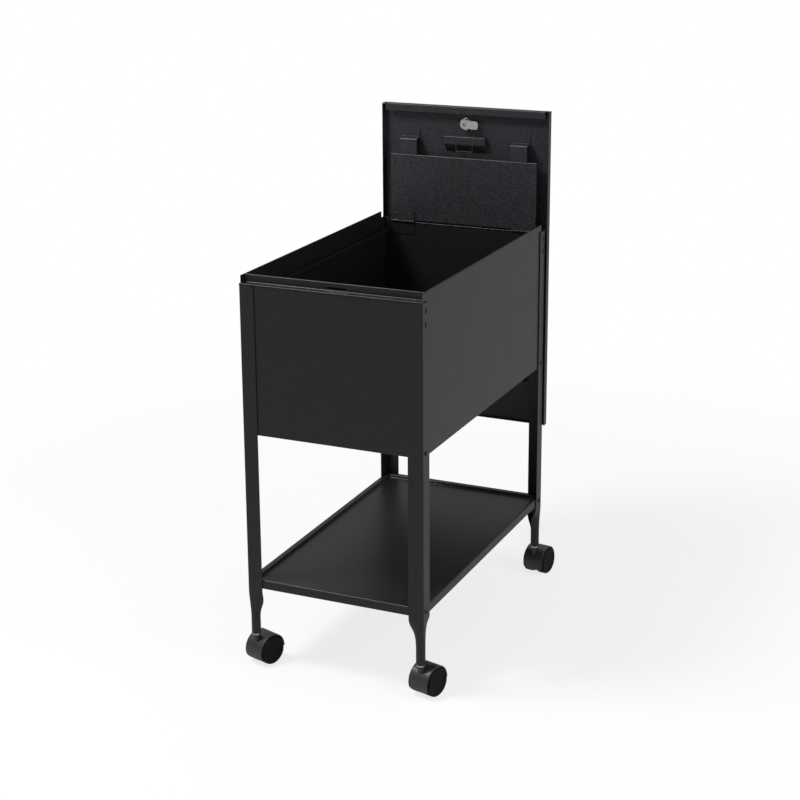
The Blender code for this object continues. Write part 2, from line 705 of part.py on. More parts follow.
lock_seat = lid_skin + SEAT
lock_near = CAM_FAR + 2 * SEAT
lock_hole = rod("lock_hole", LOCK_RADIUS + SEAT, (0, LID_INNER - SHEET, 0), (0, lid_skin + SHEET, 0), 28)
combine(lid, helper("lid_pan_lock_hole", lock_hole, lock), "DIFFERENCE")
bore = PLUG_RADIUS + SEAT
barrel = keep("lock_barrel", profile_mesh("lock_barrel", [
    (bore, lock_seat + 1.6 * MM),
    (LOCK_FLANGE - 1 * MM, lock_seat + 1.6 * MM),
    (LOCK_FLANGE, lock_seat + 0.8 * MM),
    (LOCK_FLANGE, lock_seat),
    (LOCK_RADIUS, lock_seat),
    (LOCK_RADIUS, lock_near),
    (bore, lock_near),
], closed=True), "chrome", slide, (0, 0, LOCK_Z))
across_lid(turned(barrel, 28))
nut_far = LID_INNER - SEAT
nut_near = nut_far - NUT_HEIGHT
nut = keep("lock_nut", rod("lock_nut", NUT_RADIUS, (0, nut_near, 0), (0, nut_far, 0), 6), "chrome", slide,
           (0, 0, LOCK_Z))
nut_bore = rod("nut_bore", LOCK_RADIUS + SEAT, (0, nut_near - SHEET, 0), (0, nut_far + SHEET, 0), 28)
combine(nut, helper("lock_nut_bore", nut_bore, lock), "DIFFERENCE")
tenon_near = CAM_NEAR - SEAT - CAM_NUT_HEIGHT
plug = keep("lock_plug", profile_mesh("lock_plug", [
    (0, lock_seat + 1.4 * MM),
    (PLUG_RADIUS, lock_seat + 1.4 * MM),
    (PLUG_RADIUS, CAM_FAR + SEAT),
    (TENON_RADIUS, CAM_FAR + SEAT),
    (TENON_RADIUS, tenon_near),
    (0, tenon_near),
]), "chrome", lock)
across_lid(turned(plug, 24))
slot_half = 0.7 * MM
key_slot = box("key_slot", (-slot_half, lock_seat, -3.2 * MM), (slot_half, lock_seat + 4 * MM, 3.2 * MM))
combine(plug, helper("lock_plug_slot", key_slot, lock), "DIFFERENCE")
hub = CAM_WIDTH / 2 + 1 * MM
tip = (CAM_REACH - CAM_WIDTH / 2, 0)
cam_outline = arc((0, 0), hub, math.radians(70), math.radians(290), 10)
cam_outline += arc(tip, CAM_WIDTH / 2, math.radians(-90), math.radians(90), 8)
turn_cam = Matrix.Rotation(CAM_TILT, 2)
cam_points = [turn_cam @ Vector(point) for point in cam_outline]
cam = keep("lock_cam", prism("lock_cam", [(x, CAM_NEAR, z) for x, z in cam_points], (0, CAM_SHEET, 0)),
           "chrome", lock)
tenon_bore = rod("tenon_bore", TENON_RADIUS + SEAT, (0, tenon_near - SHEET, 0), (0, CAM_FAR + SHEET / 5, 0), 24)
tenon_bore = helper("lock_cam_bore", tenon_bore, lock)
combine(cam, tenon_bore, "DIFFERENCE")
cam_nut = keep("lock_cam_nut", rod("lock_cam_nut", CAM_NUT_RADIUS, (0, tenon_near, 0), (0, CAM_NEAR - SEAT, 0), 6),
               "zinc_steel", lock)
combine(cam_nut, tenon_bore, "DIFFERENCE")


# Casters: stem held in the leg, hood that swivels on it, and two wheels on an axle behind
def caster(corner, side, rear):
    stem_x, stem_y = stem_place(side, rear)
    swivel = empty(corner + "_swivel", cabinet, (stem_x, stem_y, 0), CASTER_TURN[corner])
    stem = keep(corner + "_stem", profile_mesh("stem", [
        (0, SOCKET_TOP - 8 * MM),
        (STEM_RADIUS - 1 * MM, SOCKET_TOP - 8 * MM),
        (STEM_RADIUS, SOCKET_TOP - 10 * MM),
        (STEM_RADIUS, RING_TOP),
        (RING_RADIUS, RING_TOP),
        (RING_RADIUS, RING_BASE),
        (STEM_PIVOT, RING_BASE),
        (STEM_PIVOT, RING_BASE - 12 * MM),
        (0, RING_BASE - 12 * MM),
    ]), "zinc_steel", cabinet, (stem_x, stem_y, 0))
    turned(stem, 24)

    centre = (CASTER_TRAIL, WHEEL_RADIUS)
    front_turn = math.pi - HOOD_FRONT
    outline = arc(centre, HOOD_OUTER, 0, front_turn, 28)
    outline += arc(centre, HUB_RADIUS, front_turn, 2 * math.pi, 10)
    name = corner + "_hood"
    hood = keep(name, prism(name, [(-HOOD_HALF, y, z) for y, z in outline], (2 * HOOD_HALF, 0, 0)),
                "black_plastic", swivel)
    boss_top = RING_BASE - SEAT
    boss = rod(name, BOSS_RADIUS, (0, 0, boss_top - BOSS_HEIGHT), (0, 0, boss_top), 28)
    combine(hood, helper(name + "_boss", boss, swivel), "UNION")
    for way in (-1, 1):
        pocket = rod(name, HOOD_INNER, (way * WEB_HALF, *centre), (way * 2 * HOOD_HALF, *centre), 56)
        combine(hood, helper(name + "_pocket", pocket, swivel), "DIFFERENCE")
    bore = rod(name, STEM_PIVOT + SEAT, (0, 0, RING_BASE - 12 * MM - SEAT), (0, 0, boss_top + 8 * MM), 24)
    combine(hood, helper(name + "_bore", bore, swivel), "DIFFERENCE")
    hole = rod(name, AXLE_RADIUS + SEAT, (-2 * WEB_HALF, *centre), (2 * WEB_HALF, *centre), 20)
    combine(hood, helper(name + "_axle_hole", hole, swivel), "DIFFERENCE")

    axle_half = WHEEL_OUTER - 4 * MM
    name = corner + "_axle"
    keep(name, rod(name, AXLE_RADIUS, (-axle_half, 0, 0), (axle_half, 0, 0), 20), "zinc_steel", swivel, (0, *centre))
    for label, way in (("left", -1), ("right", 1)):
        name = corner + "_wheel_" + label
        wheel = keep(name, profile_mesh(name, [
            (0, WHEEL_OUTER - 1 * MM),
            (0.72 * WHEEL_RADIUS, WHEEL_OUTER - 1 * MM),
            (0.80 * WHEEL_RADIUS, WHEEL_OUTER),
            (0.90 * WHEEL_RADIUS, WHEEL_OUTER),
            (WHEEL_RADIUS, WHEEL_OUTER - 3 * MM),
            (WHEEL_RADIUS, WHEEL_INNER + 1.5 * MM),
            (WHEEL_RADIUS - 1.5 * MM, WHEEL_INNER),
            (AXLE_RADIUS + SEAT, WHEEL_INNER),
            (AXLE_RADIUS + SEAT, axle_half + SEAT),
            (0, axle_half + SEAT),
        ]), "wheel_plastic", swivel, (0, *centre))
        wheel.rotation_euler.y = way * math.pi / 2
        turned(wheel, 40)


for corner, where in CORNERS.items():
    caster(corner, *where)

# The origin is the middle of the footprint, on the floor
bpy.context.view_layer.update()
graph = bpy.context.evaluated_depsgraph_get()
corners = []
for node in parts.objects:
    if node.type == "MESH":
        ready = node.evaluated_get(graph)
        corners += [ready.matrix_world @ Vector(point) for point in ready.bound_box]
middle_x = (min(point.x for point in corners) + max(point.x for point in corners)) / 2
middle_y = (min(point.y for point in corners) + max(point.y for point in corners)) / 2
cabinet.location = (-middle_x, -middle_y, 0)
bpy.context.view_layer.update()

print("shift", [round(value, 6) for value in cabinet.location])
print("hinge axis", [round(value, 6) for value in hinge.matrix_world.translation])
print("lid travel", round(LID_TRAVEL, 6))
print("lock axis", [round(value, 6) for value in lock.matrix_world.translation])
for node in parts.objects:
    if node.name.endswith("_swivel"):
        print(node.name, [round(value, 6) for value in node.matrix_world.translation],
              "turn", round(math.degrees(node.rotation_euler.z), 3))
    if node.name.endswith("_axle"):
        print(node.name, [round(value, 6) for value in node.matrix_world.translation])
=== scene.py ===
# %% [markdown]
# # A rolling folder tub in black sheet metal
# The cabinet is a folded steel tub on four angle legs, with a shelf, casters and a lid that swings up
# and slides down behind the tub. The solids of the part are loaded first, because every visible piece
# below is made around them. Drawing in millimetres from the cabinet's own middle and front is easier to
# follow than metres from the middle of the footprint, so a piece is scaled and moved only once, when it
# is finished.

# %% Load the solids and keep their box
import json
import math

import bmesh
import bpy
from mathutils import Matrix, Vector

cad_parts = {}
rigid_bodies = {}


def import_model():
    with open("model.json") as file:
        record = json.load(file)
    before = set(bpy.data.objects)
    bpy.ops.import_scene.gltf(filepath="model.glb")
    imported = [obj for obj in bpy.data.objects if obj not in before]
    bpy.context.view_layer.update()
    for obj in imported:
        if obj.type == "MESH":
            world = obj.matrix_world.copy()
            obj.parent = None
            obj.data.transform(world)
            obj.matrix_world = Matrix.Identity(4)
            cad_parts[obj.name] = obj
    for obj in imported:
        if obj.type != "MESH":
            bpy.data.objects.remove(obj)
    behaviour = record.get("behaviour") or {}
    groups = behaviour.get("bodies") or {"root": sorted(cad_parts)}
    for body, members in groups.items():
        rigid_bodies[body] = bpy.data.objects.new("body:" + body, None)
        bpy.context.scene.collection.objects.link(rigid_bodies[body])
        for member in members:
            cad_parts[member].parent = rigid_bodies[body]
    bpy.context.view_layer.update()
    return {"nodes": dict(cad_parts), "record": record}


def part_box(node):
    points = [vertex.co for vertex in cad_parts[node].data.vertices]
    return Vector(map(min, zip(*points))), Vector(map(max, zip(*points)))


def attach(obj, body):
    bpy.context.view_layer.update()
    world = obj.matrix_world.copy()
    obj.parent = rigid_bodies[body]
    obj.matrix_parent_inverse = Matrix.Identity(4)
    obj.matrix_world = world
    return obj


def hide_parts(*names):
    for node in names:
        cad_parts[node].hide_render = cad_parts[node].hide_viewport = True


for leftover in list(bpy.data.objects):
    bpy.data.objects.remove(leftover, do_unlink=True)
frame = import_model()
MM = 0.001
lid_low, lid_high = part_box("lid_pan")
ORIGIN = Vector(((lid_low.x + lid_high.x) / 2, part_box("leg_front_left")[0].y, 0))
CORNERS = {
    "front_left": (-1, False),
    "front_right": (1, False),
    "rear_left": (-1, True),
    "rear_right": (1, True),
}
SIDES = {"left": -1, "right": 1}


def span(node):
    """Lowest and highest corner of a solid, in millimetres from the cabinet's middle and front."""
    low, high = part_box(node)
    return (low - ORIGIN) / MM, (high - ORIGIN) / MM


def centre(node):
    low, high = span(node)
    return (low + high) / 2


print("solids", len(frame["nodes"]), "origin", [round(value, 4) for value in ORIGIN])

# %% [markdown]
# ## Sums on sockets
# Every finish here is a small sum of noises. Adding Math nodes one by one hides that sum, so one class
# wraps a socket: Python's own operators add the Math nodes, and one method adds any other node.


# %% A socket that can be added and multiplied
class Flow:
    """One output of a material's nodes. Sums on it add Math nodes."""

    def __init__(self, tree, socket=None):
        self.tree = tree
        self.socket = socket

    def node(self, kind, settings=None, inputs=None, output=0):
        """Add a node: its settings first, then a value or a link for each named input."""
        made = self.tree.nodes.new(kind)
        for name, value in (settings or {}).items():
            setattr(made, name, value)
        for name, value in (inputs or {}).items():
            if isinstance(value, Flow):
                self.tree.links.new(value.socket, made.inputs[name])
            else:
                made.inputs[name].default_value = value
        return Flow(self.tree, made.outputs[output] if made.outputs else None)

    def sum(self, operation, left, right):
        return self.node("ShaderNodeMath", {"operation": operation}, {0: left, 1: right})

    def __add__(self, other):
        return self.sum("ADD", self, other)

    def __sub__(self, other):
        return self.sum("SUBTRACT", self, other)

    def __rsub__(self, other):
        return self.sum("SUBTRACT", other, self)

    def __mul__(self, other):
        return self.sum("MULTIPLY", self, other)

    __radd__ = __add__
    __rmul__ = __mul__


print("socket sums ready")

# %% [markdown]
# ## Finishes
# Powder coat is black pigment baked to a satin skin. Close up it has a fine orange peel, its gloss
# drifts a little from place to place, and hands and dust leave faint paler patches. The lid's coat is
# coarser. A plain dark colour would look like paper, so each finish mixes two colours by a wide noise,
# lets a second noise move the roughness, and gives a fine noise to the bump.


# %% Noise on the piece's own coordinates, and a two-colour mix
def start_material(name):
    material = bpy.data.materials.new(name)
    material.use_nodes = True
    material.node_tree.nodes.clear()
    return material, Flow(material.node_tree)


def noise(flow, size, detail=3.0, rough=0.55, stretch=(1, 1, 1)):
    """A cloudy value from 0 to 1 whose patches are about that many millimetres wide."""
    place = flow.node("ShaderNodeTexCoord", output="Object")
    stretched = flow.node("ShaderNodeMapping", None, {"Vector": place, "Scale": stretch})
    return flow.node("ShaderNodeTexNoise", None, {
        "Vector": stretched, "Scale": 1 / (size * MM), "Detail": detail, "Roughness": rough})


def mask(flow, value, low, high):
    """Spread the stretch between low and high over 0 to 1."""
    return flow.node("ShaderNodeMapRange", None, {"Value": value, "From Min": low, "From Max": high})


def blend(flow, factor, first, second):
    return flow.node("ShaderNodeMix", {"data_type": "RGBA"}, {0: factor, 6: first, 7: second}, output=2)


def grey(value, tint=(1, 1, 1)):
    return (*[value * part for part in tint], 1)


def surface(flow, colour, rough, height, depth, metallic=0.0, shine=0.5, bump=1.0, sheen=(1, 1, 1)):
    """Close a material: colour, roughness and bump vary, the rest is the same all over."""
    normal = flow.node("ShaderNodeBump", None, {"Height": height, "Distance": depth * MM, "Strength": bump})
    shader = flow.node("ShaderNodeBsdfPrincipled", None, {
        "Base Color": colour, "Roughness": rough, "Normal": normal,
        "Metallic": metallic, "Specular IOR Level": shine, "Specular Tint": grey(1.0, sheen)})
    flow.node("ShaderNodeOutputMaterial", None, {"Surface": shader})


print("helpers ready")


# %% Powder coats, moulded plastics and plated metals
def powder_coat(name, dark, pale, peel, depth, rough):
    material, flow = start_material(name)
    cool = (1, 0.98, 1.16)
    cloud = noise(flow, 60)
    mottle = mask(flow, noise(flow, 4 * peel, 2), 0.35, 0.65)
    patch = mask(flow, noise(flow, 14, 5, 0.6), 0.52, 0.75)
    speck = mask(flow, noise(flow, 0.9, 1), 0.66, 0.74)
    colour = blend(flow, 0.35 * cloud + 0.65 * mottle, grey(dark, cool), grey(pale, cool))
    colour = blend(flow, 0.03 * patch + 0.12 * speck, colour, grey(0.10, cool))
    gloss = rough + 0.04 * patch + 0.06 * (noise(flow, 25) - 0.5)
    grain = noise(flow, peel, 2) + 1.2 * noise(flow, 4 * peel, 2)
    surface(flow, colour, gloss, grain, depth, shine=0.38, sheen=(0.95, 0.93, 1.0))
    return material


def moulded(name, dark, pale, rough, scuff, shine):
    material, flow = start_material(name)
    scratch = mask(flow, noise(flow, 5, 6, 0.7, (1, 1, 3)), 0.56, 0.72)
    colour = blend(flow, noise(flow, 18), grey(dark), grey(pale))
    colour = blend(flow, scuff * scratch, colour, grey(0.12, (1, 0.98, 0.95)))
    gloss = rough + 0.15 * scratch + 0.10 * (noise(flow, 8) - 0.5)
    grain = noise(flow, 0.5, 2) - 0.3 * scratch
    surface(flow, colour, gloss, grain, 0.05, shine=shine)
    return material


def plated(name, base, tint, rough, brushed, streak):
    material, flow = start_material(name)
    cloud = noise(flow, 6, 4)
    lines = noise(flow, 1.2, 4, 0.7, streak)
    tarnish = mask(flow, noise(flow, 4, 5, 0.65), 0.55, 0.8)
    colour = blend(flow, cloud, grey(base), grey(base * 0.88, tint))
    colour = blend(flow, 0.6 * tarnish, colour, grey(base * 0.5, tint))
    gloss = rough + 0.12 * tarnish + brushed * (lines - 0.5)
    surface(flow, colour, gloss, lines + 1.5 * cloud, 0.06, metallic=1.0, bump=0.6)
    return material


FINISH = {
    "black_coat": powder_coat("satin_black_powder_coat", 0.006, 0.012, 0.8, 0.05, 0.36),
    "lid_coat": powder_coat("fine_textured_powder_coat", 0.010, 0.030, 1.1, 0.14, 0.42),
    "zinc_steel": plated("zinc_plate", 0.62, (1.0, 0.97, 0.88), 0.30, 0.20, (1, 1, 6)),
    "chrome": plated("bright_plate", 0.66, (0.96, 0.98, 1.0), 0.18, 0.14, (6, 1, 1)),
    "black_plastic": moulded("moulded_hood_plastic", 0.017, 0.027, 0.36, 0.25, 0.5),
    "wheel_plastic": moulded("worn_wheel_plastic", 0.003, 0.006, 0.62, 0.10, 0.12),
}
print("finishes", sorted(FINISH))

# %% [markdown]
# ## Tools for sheet metal
# A press brake folds a flat blank, so a fold has a radius and the sheet has the same thickness
# everywhere. Modelling the outside of the sheet as an open surface, rounding its folds with a bevel and
# only then giving it thickness follows the real order, and keeps the inner radius right. Cut-outs come
# last, with a Boolean.


# %% Shapes to start from
def strip(points, sweep):
    """Open sheet: a line of points, swept sideways."""
    shape = bmesh.new()
    line = [shape.verts.new(point) for point in points]
    edges = [shape.edges.new(pair) for pair in zip(line, line[1:])]
    grow(shape, edges, sweep)
    return shape


def grow(shape, edges, step):
    """Extrude edges by a vector and give the edges that they end in."""
    grown = bmesh.ops.extrude_edge_only(shape, edges=edges)["geom"]
    moved = [item for item in grown if isinstance(item, bmesh.types.BMVert)]
    bmesh.ops.translate(shape, verts=moved, vec=step)
    kept = set(moved)
    return [edge for edge in shape.edges if set(edge.verts) <= kept]


def block(first, second):
    """A box between two opposite corners."""
    shape = bmesh.new()
    low, high = [Vector(map(choose, first, second)) for choose in (min, max)]
    middle = (low + high) / 2
    size = high - low
    bmesh.ops.create_cube(shape, size=1, matrix=Matrix.Translation(middle) @ Matrix.Diagonal((*size, 1)))
    return shape


def bar(radius, start, end, sides=40):
    shape = bmesh.new()
    line = Vector(end) - Vector(start)
    turn = line.to_track_quat("Z", "Y").to_matrix().to_4x4()
    bmesh.ops.create_cone(shape, cap_ends=True, segments=sides, radius1=radius, radius2=radius,
                          depth=line.length,
                          matrix=Matrix.Translation((Vector(start) + Vector(end)) / 2) @ turn)
    return shape


def turned(profile, steps=48, closed=False):
    """Spin a line of (radius, height) round the Z axis, with its seam and poles closed."""
    shape = bmesh.new()
    line = [shape.verts.new((radius, 0, height)) for radius, height in profile]
    for pair in zip(line, line[1:] + (line[:1] if closed else [])):
        shape.edges.new(pair)
    bmesh.ops.spin(shape, geom=shape.verts[:] + shape.edges[:], cent=(0, 0, 0), axis=(0, 0, 1),
                   angle=2 * math.pi, steps=steps, use_merge=True)
    bmesh.ops.remove_doubles(shape, verts=shape.verts, dist=0.0005)
    bmesh.ops.recalc_face_normals(shape, faces=shape.faces)
    return shape


def slab(outline, lift):
    """A flat outline, thickened by a vector."""
    shape = bmesh.new()
    face = shape.faces.new([shape.verts.new(point) for point in outline])
    grown = bmesh.ops.extrude_face_region(shape, geom=[face])["geom"]
    moved = [item for item in grown if isinstance(item, bmesh.types.BMVert)]
    bmesh.ops.translate(shape, verts=moved, vec=lift)
    bmesh.ops.recalc_face_normals(shape, faces=shape.faces)
    return shape


def placed(shape, matrix):
    bmesh.ops.transform(shape, matrix=matrix, verts=shape.verts)
    return shape


print("starting shapes ready")


# %% Folds, thickness, broken edges
def sharp_edges(shape, least):
    shape.normal_update()
    return [edge for edge in shape.edges if len(edge.link_faces) == 2
            and edge.calc_face_angle() > math.radians(least)]


def edges_along(edges, axis, least):
    """Edges that run further than least along an axis."""
    return [edge for edge in edges if abs(getattr(edge.verts[0].co - edge.verts[1].co, axis)) > least]


def soften(shape, edges, radius, segments=4):
    bmesh.ops.bevel(shape, geom=edges, offset=radius, offset_type="OFFSET", affect="EDGES",
                    segments=segments, profile=0.5, material=-1, clamp_overlap=True)
    return shape


def sheet(shape, wall, fold, outward, edge=0.2):
    """Finish an open surface as sheet metal. Its largest face looks towards outward."""
    bmesh.ops.recalc_face_normals(shape, faces=shape.faces)
    if fold:
        soften(shape, sharp_edges(shape, 10), fold)
    largest = max(shape.faces, key=lambda face: face.calc_area())
    if largest.normal.dot(Vector(outward)) < 0:
        bmesh.ops.reverse_faces(shape, faces=shape.faces)
    bmesh.ops.solidify(shape, geom=shape.faces[:], thickness=wall)
    bmesh.ops.recalc_face_normals(shape, faces=shape.faces)
    if edge:
        soften(shape, sharp_edges(shape, 50), edge, 2)
    return shape


def as_object(name, shape):
    mesh = bpy.data.meshes.new(name)
    shape.to_mesh(mesh)
    shape.free()
    item = bpy.data.objects.new(name, mesh)
    bpy.context.scene.collection.objects.link(item)
    return item


def carve(shape, *others, how="DIFFERENCE"):
    """Cut other shapes out of this one, or join them to it."""
    items = [as_object("scratch", each) for each in (shape, *others)]
    for other in items[1:]:
        step = items[0].modifiers.new("carve", "BOOLEAN")
        step.operation = how
        step.solver = "EXACT"
        step.object = other
    graph = bpy.context.evaluated_depsgraph_get()
    result = bmesh.new()
    result.from_mesh(items[0].evaluated_get(graph).data)
    for item in items:
        mesh = item.data
        bpy.data.objects.remove(item)
        bpy.data.meshes.remove(mesh)
    bmesh.ops.remove_doubles(result, verts=result.verts, dist=0.0005)
    return result


print("sheet tools ready")


# %% Put a finished piece in the scene
def settle(name, shape, finish, body, *nodes, painted_light_coat=None):
    """Bring a piece to metres in the part's frame, shade it, and let it ride on its body."""
    placed(shape, Matrix.Translation(ORIGIN) @ Matrix.Scale(MM, 4))
    piece = as_object(name, shape)
    mesh = piece.data
    # A coat given here is painted light: it replaces the piece's own finish with the paler lid coat, which
    # stands in for light bounced onto the piece.
    mesh.materials.append(FINISH[painted_light_coat or finish])
    mesh.polygons.foreach_set("use_smooth", [True] * len(mesh.polygons))
    mesh.set_sharp_from_angle(angle=math.radians(38))
    shading = piece.modifiers.new("even_shading", "WEIGHTED_NORMAL")
    shading.keep_sharp = True
    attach(piece, body)
    if nodes:
        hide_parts(*nodes)
    print(name, len(mesh.polygons), "faces")


# %% [markdown]
# ## Legs
# Each leg is one strip of 1.5 mm steel. It is folded to an angle along its length, and below the shelf
# the same width of sheet is rolled shut into a tube that takes the caster's stem. Flat flanges cut to a
# taper would be simpler, but their edges stay in one plane, while a rolled edge also moves back and
# looks different on the left and right legs. So each ring of the leg turns its sheet's direction from
# that of the angle towards that of a circle, and the rings are joined in a grid. The top ring dips at
# its ends, which rounds the heads.

# %% Angle legs with round feet
HALF = span("leg_front_right")[1].x
DEPTH = span("leg_rear_right")[1].y
FOOT = span("leg_front_right")[0].z
FLANGE = HALF - span("leg_front_right")[0].x
LEG_WALL, LEG_FOLD, HEAD_RADIUS = 1.5, 2.4, 5
STEM_INSET, FOOT_RADIUS, TUBE_SEAM = 9, 8.4, 0.2
ROLL_DROP, ROLL_LENGTH, ROLL_STEPS = 3, 57, 18
FOLD_STEPS, FLAT_STEPS, HEAD_STEPS = 5, 8, 5
PLUG_RISE, PLUG_DROP = 0.3, 2
STEM_BORE, STEM_ROOM = 5.3, 0.5
SLOT_DROPS, SLOT_SIZE, SLOT_REACH = (14.5, 38.5), (4.5, 11), 4
SCREW_HOLE, CUT_PAST = 2.1, 5
UP = Vector((0, 0, 1))
DIAGONAL = math.sqrt(0.5)
ROLL_TOP = span("lower_shelf")[0].z - ROLL_DROP
ROLL_BASE = ROLL_TOP - ROLL_LENGTH
FOLD_LENGTH = LEG_FOLD * math.pi / 4
HALF_STRIP = FOLD_LENGTH + FLANGE - LEG_FOLD
HALF_ROUND = math.pi * FOOT_RADIUS - TUBE_SEAM


def ease(share):
    """A smooth S from 0 to 1."""
    return share * share * (3 - 2 * share)


def between(first, last, share):
    return first + (last - first) * share


def strip_places():
    """Places over half the strip, from fold to free edge, each with its dip at the rounded head."""
    places = [(FOLD_LENGTH * step / FOLD_STEPS, 0) for step in range(FOLD_STEPS + 1)]
    head_start = HALF_STRIP - HEAD_RADIUS
    for step in range(1, FLAT_STEPS + 1):
        places.append((between(FOLD_LENGTH, head_start, step / FLAT_STEPS), 0))
    for step in range(1, HEAD_STEPS + 1):
        turn = math.pi / 2 * step / HEAD_STEPS
        places.append((head_start + HEAD_RADIUS * math.sin(turn), HEAD_RADIUS * (1 - math.cos(turn))))
    return [(distance / HALF_STRIP, dip) for distance, dip in places]


PLACES = strip_places()


def half_section(roll):
    """Outer and inner points of half the sheet; a roll of 0 is the angle and 1 the tube."""
    corner = between(LEG_FOLD * (1 - DIAGONAL), STEM_INSET - FOOT_RADIUS * DIAGONAL, roll)
    length = between(HALF_STRIP, HALF_ROUND, roll)

    def heading(share):
        angle = -math.pi / 4 * (1 - min(1, share * HALF_STRIP / FOLD_LENGTH))
        circle = -math.pi / 4 + share * HALF_ROUND / FOOT_RADIUS
        return between(angle, circle, roll)

    point = Vector((corner, corner))
    last = 0
    outer, inner = [], []
    for share, dip in PLACES:
        turn = heading((last + share) / 2)
        point = point + Vector((math.cos(turn), math.sin(turn))) * (share - last) * length
        turn = heading(share)
        outer.append(point)
        inner.append(point + Vector((-math.sin(turn), math.cos(turn))) * LEG_WALL)
        last = share
    return outer, inner


def leg_shell(side, corner_y, inward, top):
    """The whole strip, from its rounded head to the foot's end."""
    levels = [(0, top, 1), (0, ROLL_TOP, 0)]
    for step in range(1, ROLL_STEPS + 1):
        share = step / ROLL_STEPS
        levels.append((ease(share), between(ROLL_TOP, ROLL_BASE, share), 0))
    levels.append((1, FOOT, 0))
    dips = [dip for share, dip in PLACES]
    dips = dips[:0:-1] + dips
    shape = bmesh.new()
    rings = []
    for roll, height, dipped in levels:
        skins = []
        for line in half_section(roll):
            points = [point.xy for point in line[:0:-1]] + [point.yx for point in line]
            skin = []
            for point, dip in zip(points, dips):
                place = (side * (HALF - point.x), corner_y + inward * point.y, height - dipped * dip)
                skin.append(shape.verts.new(place))
            skins.append(skin)
        rings.append(skins[0] + skins[1][::-1])
    count = len(rings[0])
    for upper, lower in zip(rings, rings[1:]):
        for place in range(count):
            after = (place + 1) % count
            shape.faces.new((upper[place], upper[after], lower[after], lower[place]))
    for ring in (rings[0], rings[-1]):
        for place in range(count // 2 - 1):
            far = count - 1 - place
            shape.faces.new((ring[place], ring[place + 1], ring[far - 1], ring[far]))
    bmesh.ops.recalc_face_normals(shape, faces=shape.faces[:])
    return shape


def round_slot(middle):
    """A cutter for an upright slot with round ends, through a flange that faces sideways."""
    width, height = SLOT_SIZE
    half = Vector((SLOT_REACH, width / 2, height / 2))
    shape = block(middle - half, middle + half)
    return soften(shape, edges_along(shape.edges, "x", SLOT_REACH), width / 2 * 0.98, 6)


def screw_hole(node):
    reach = Vector((CUT_PAST, 0, 0))
    return bar(SCREW_HOLE, centre(node) - reach, centre(node) + reach, 20)


def leg(corner, side, rear):
    top = span("leg_" + corner)[1].z
    corner_y = DEPTH if rear else 0
    inward = -1 if rear else 1
    shape = leg_shell(side, corner_y, inward, top)
    post = Vector((side * (HALF - STEM_INSET), corner_y + inward * STEM_INSET, 0))
    plug = bar(FOOT_RADIUS - LEG_WALL / 2, post + (FOOT + PLUG_RISE) * UP,
               post + (ROLL_BASE - PLUG_DROP) * UP)
    shape = carve(shape, plug, how="UNION")
    bore_top = span(corner + "_stem")[1].z + STEM_ROOM
    cutters = [bar(STEM_BORE, post + (FOOT - CUT_PAST) * UP, post + bore_top * UP)]
    for drop in SLOT_DROPS:
        cutters.append(round_slot(Vector((side * HALF, corner_y + inward * FLANGE / 2, top - drop))))
    cutters += [screw_hole("screw_" + kind + "_" + corner) for kind in ("tub", "shelf")]
    shape = carve(shape, *cutters)
    settle("formed_leg_" + corner, shape, "black_coat", "frame", "leg_" + corner)


for corner, (side, rear) in CORNERS.items():
    leg(corner, side, rear)

# %% [markdown]
# ## Tub
# The front is one blank: it rises to a ledge, steps back, rises again to the rim and ends in a small
# hem. A half-round bead covers the ledge's front edge and the heads of the front legs, and a slot above
# the ledge takes the lock's cam. The sides are flat with a hem turned inside along the top, which makes
# the rim look thicker than the sheet. The back has a small rib between its hinges. Lofting each wall
# would work as well, but strips that are folded like the blanks keep one thickness by themselves.

# %% Folded front with its bead
RIM = span("tub_right")[1].z
LEDGE = span("leg_rear_right")[1].z
TUB_BASE = span("tub_front")[0].z
STEEL, WALL_INSET, FRONT_INSET = 1.0, 1.8, 3.1
FIT_HALF = HALF - FRONT_INSET
STRIP_Y, HEM = 14.5, 3
BEAD_HEIGHT, BEAD_DEPTH, BEAD_ROUND = 2.4, 3, 1.15
KEEPER_X, KEEPER_Y, KEEPER_RISE = (-10, 26), (13, 17), (1.8, 6.2)
front_line = [(WALL_INSET, TUB_BASE), (WALL_INSET, LEDGE), (STRIP_Y, LEDGE), (STRIP_Y, RIM),
              (STRIP_Y + HEM, RIM), (STRIP_Y + HEM, RIM - HEM)]
front = strip([(-FIT_HALF, y, z) for y, z in front_line], (2 * FIT_HALF, 0, 0))
sheet(front, STEEL, 1.3, (0, -1, 0))
bead = block((-HALF, 0, LEDGE - BEAD_HEIGHT), (HALF, BEAD_DEPTH, LEDGE))
bead_front = [edge for edge in bead.edges if all(vert.co.y < 1 for vert in edge.verts)]
soften(bead, bead_front, BEAD_ROUND, 5)
keeper = block(*zip(KEEPER_X, KEEPER_Y, [LEDGE + rise for rise in KEEPER_RISE]))
front = carve(carve(front, bead, how="UNION"), keeper)
settle("folded_tub_front", front, "black_coat", "frame", "tub_front")

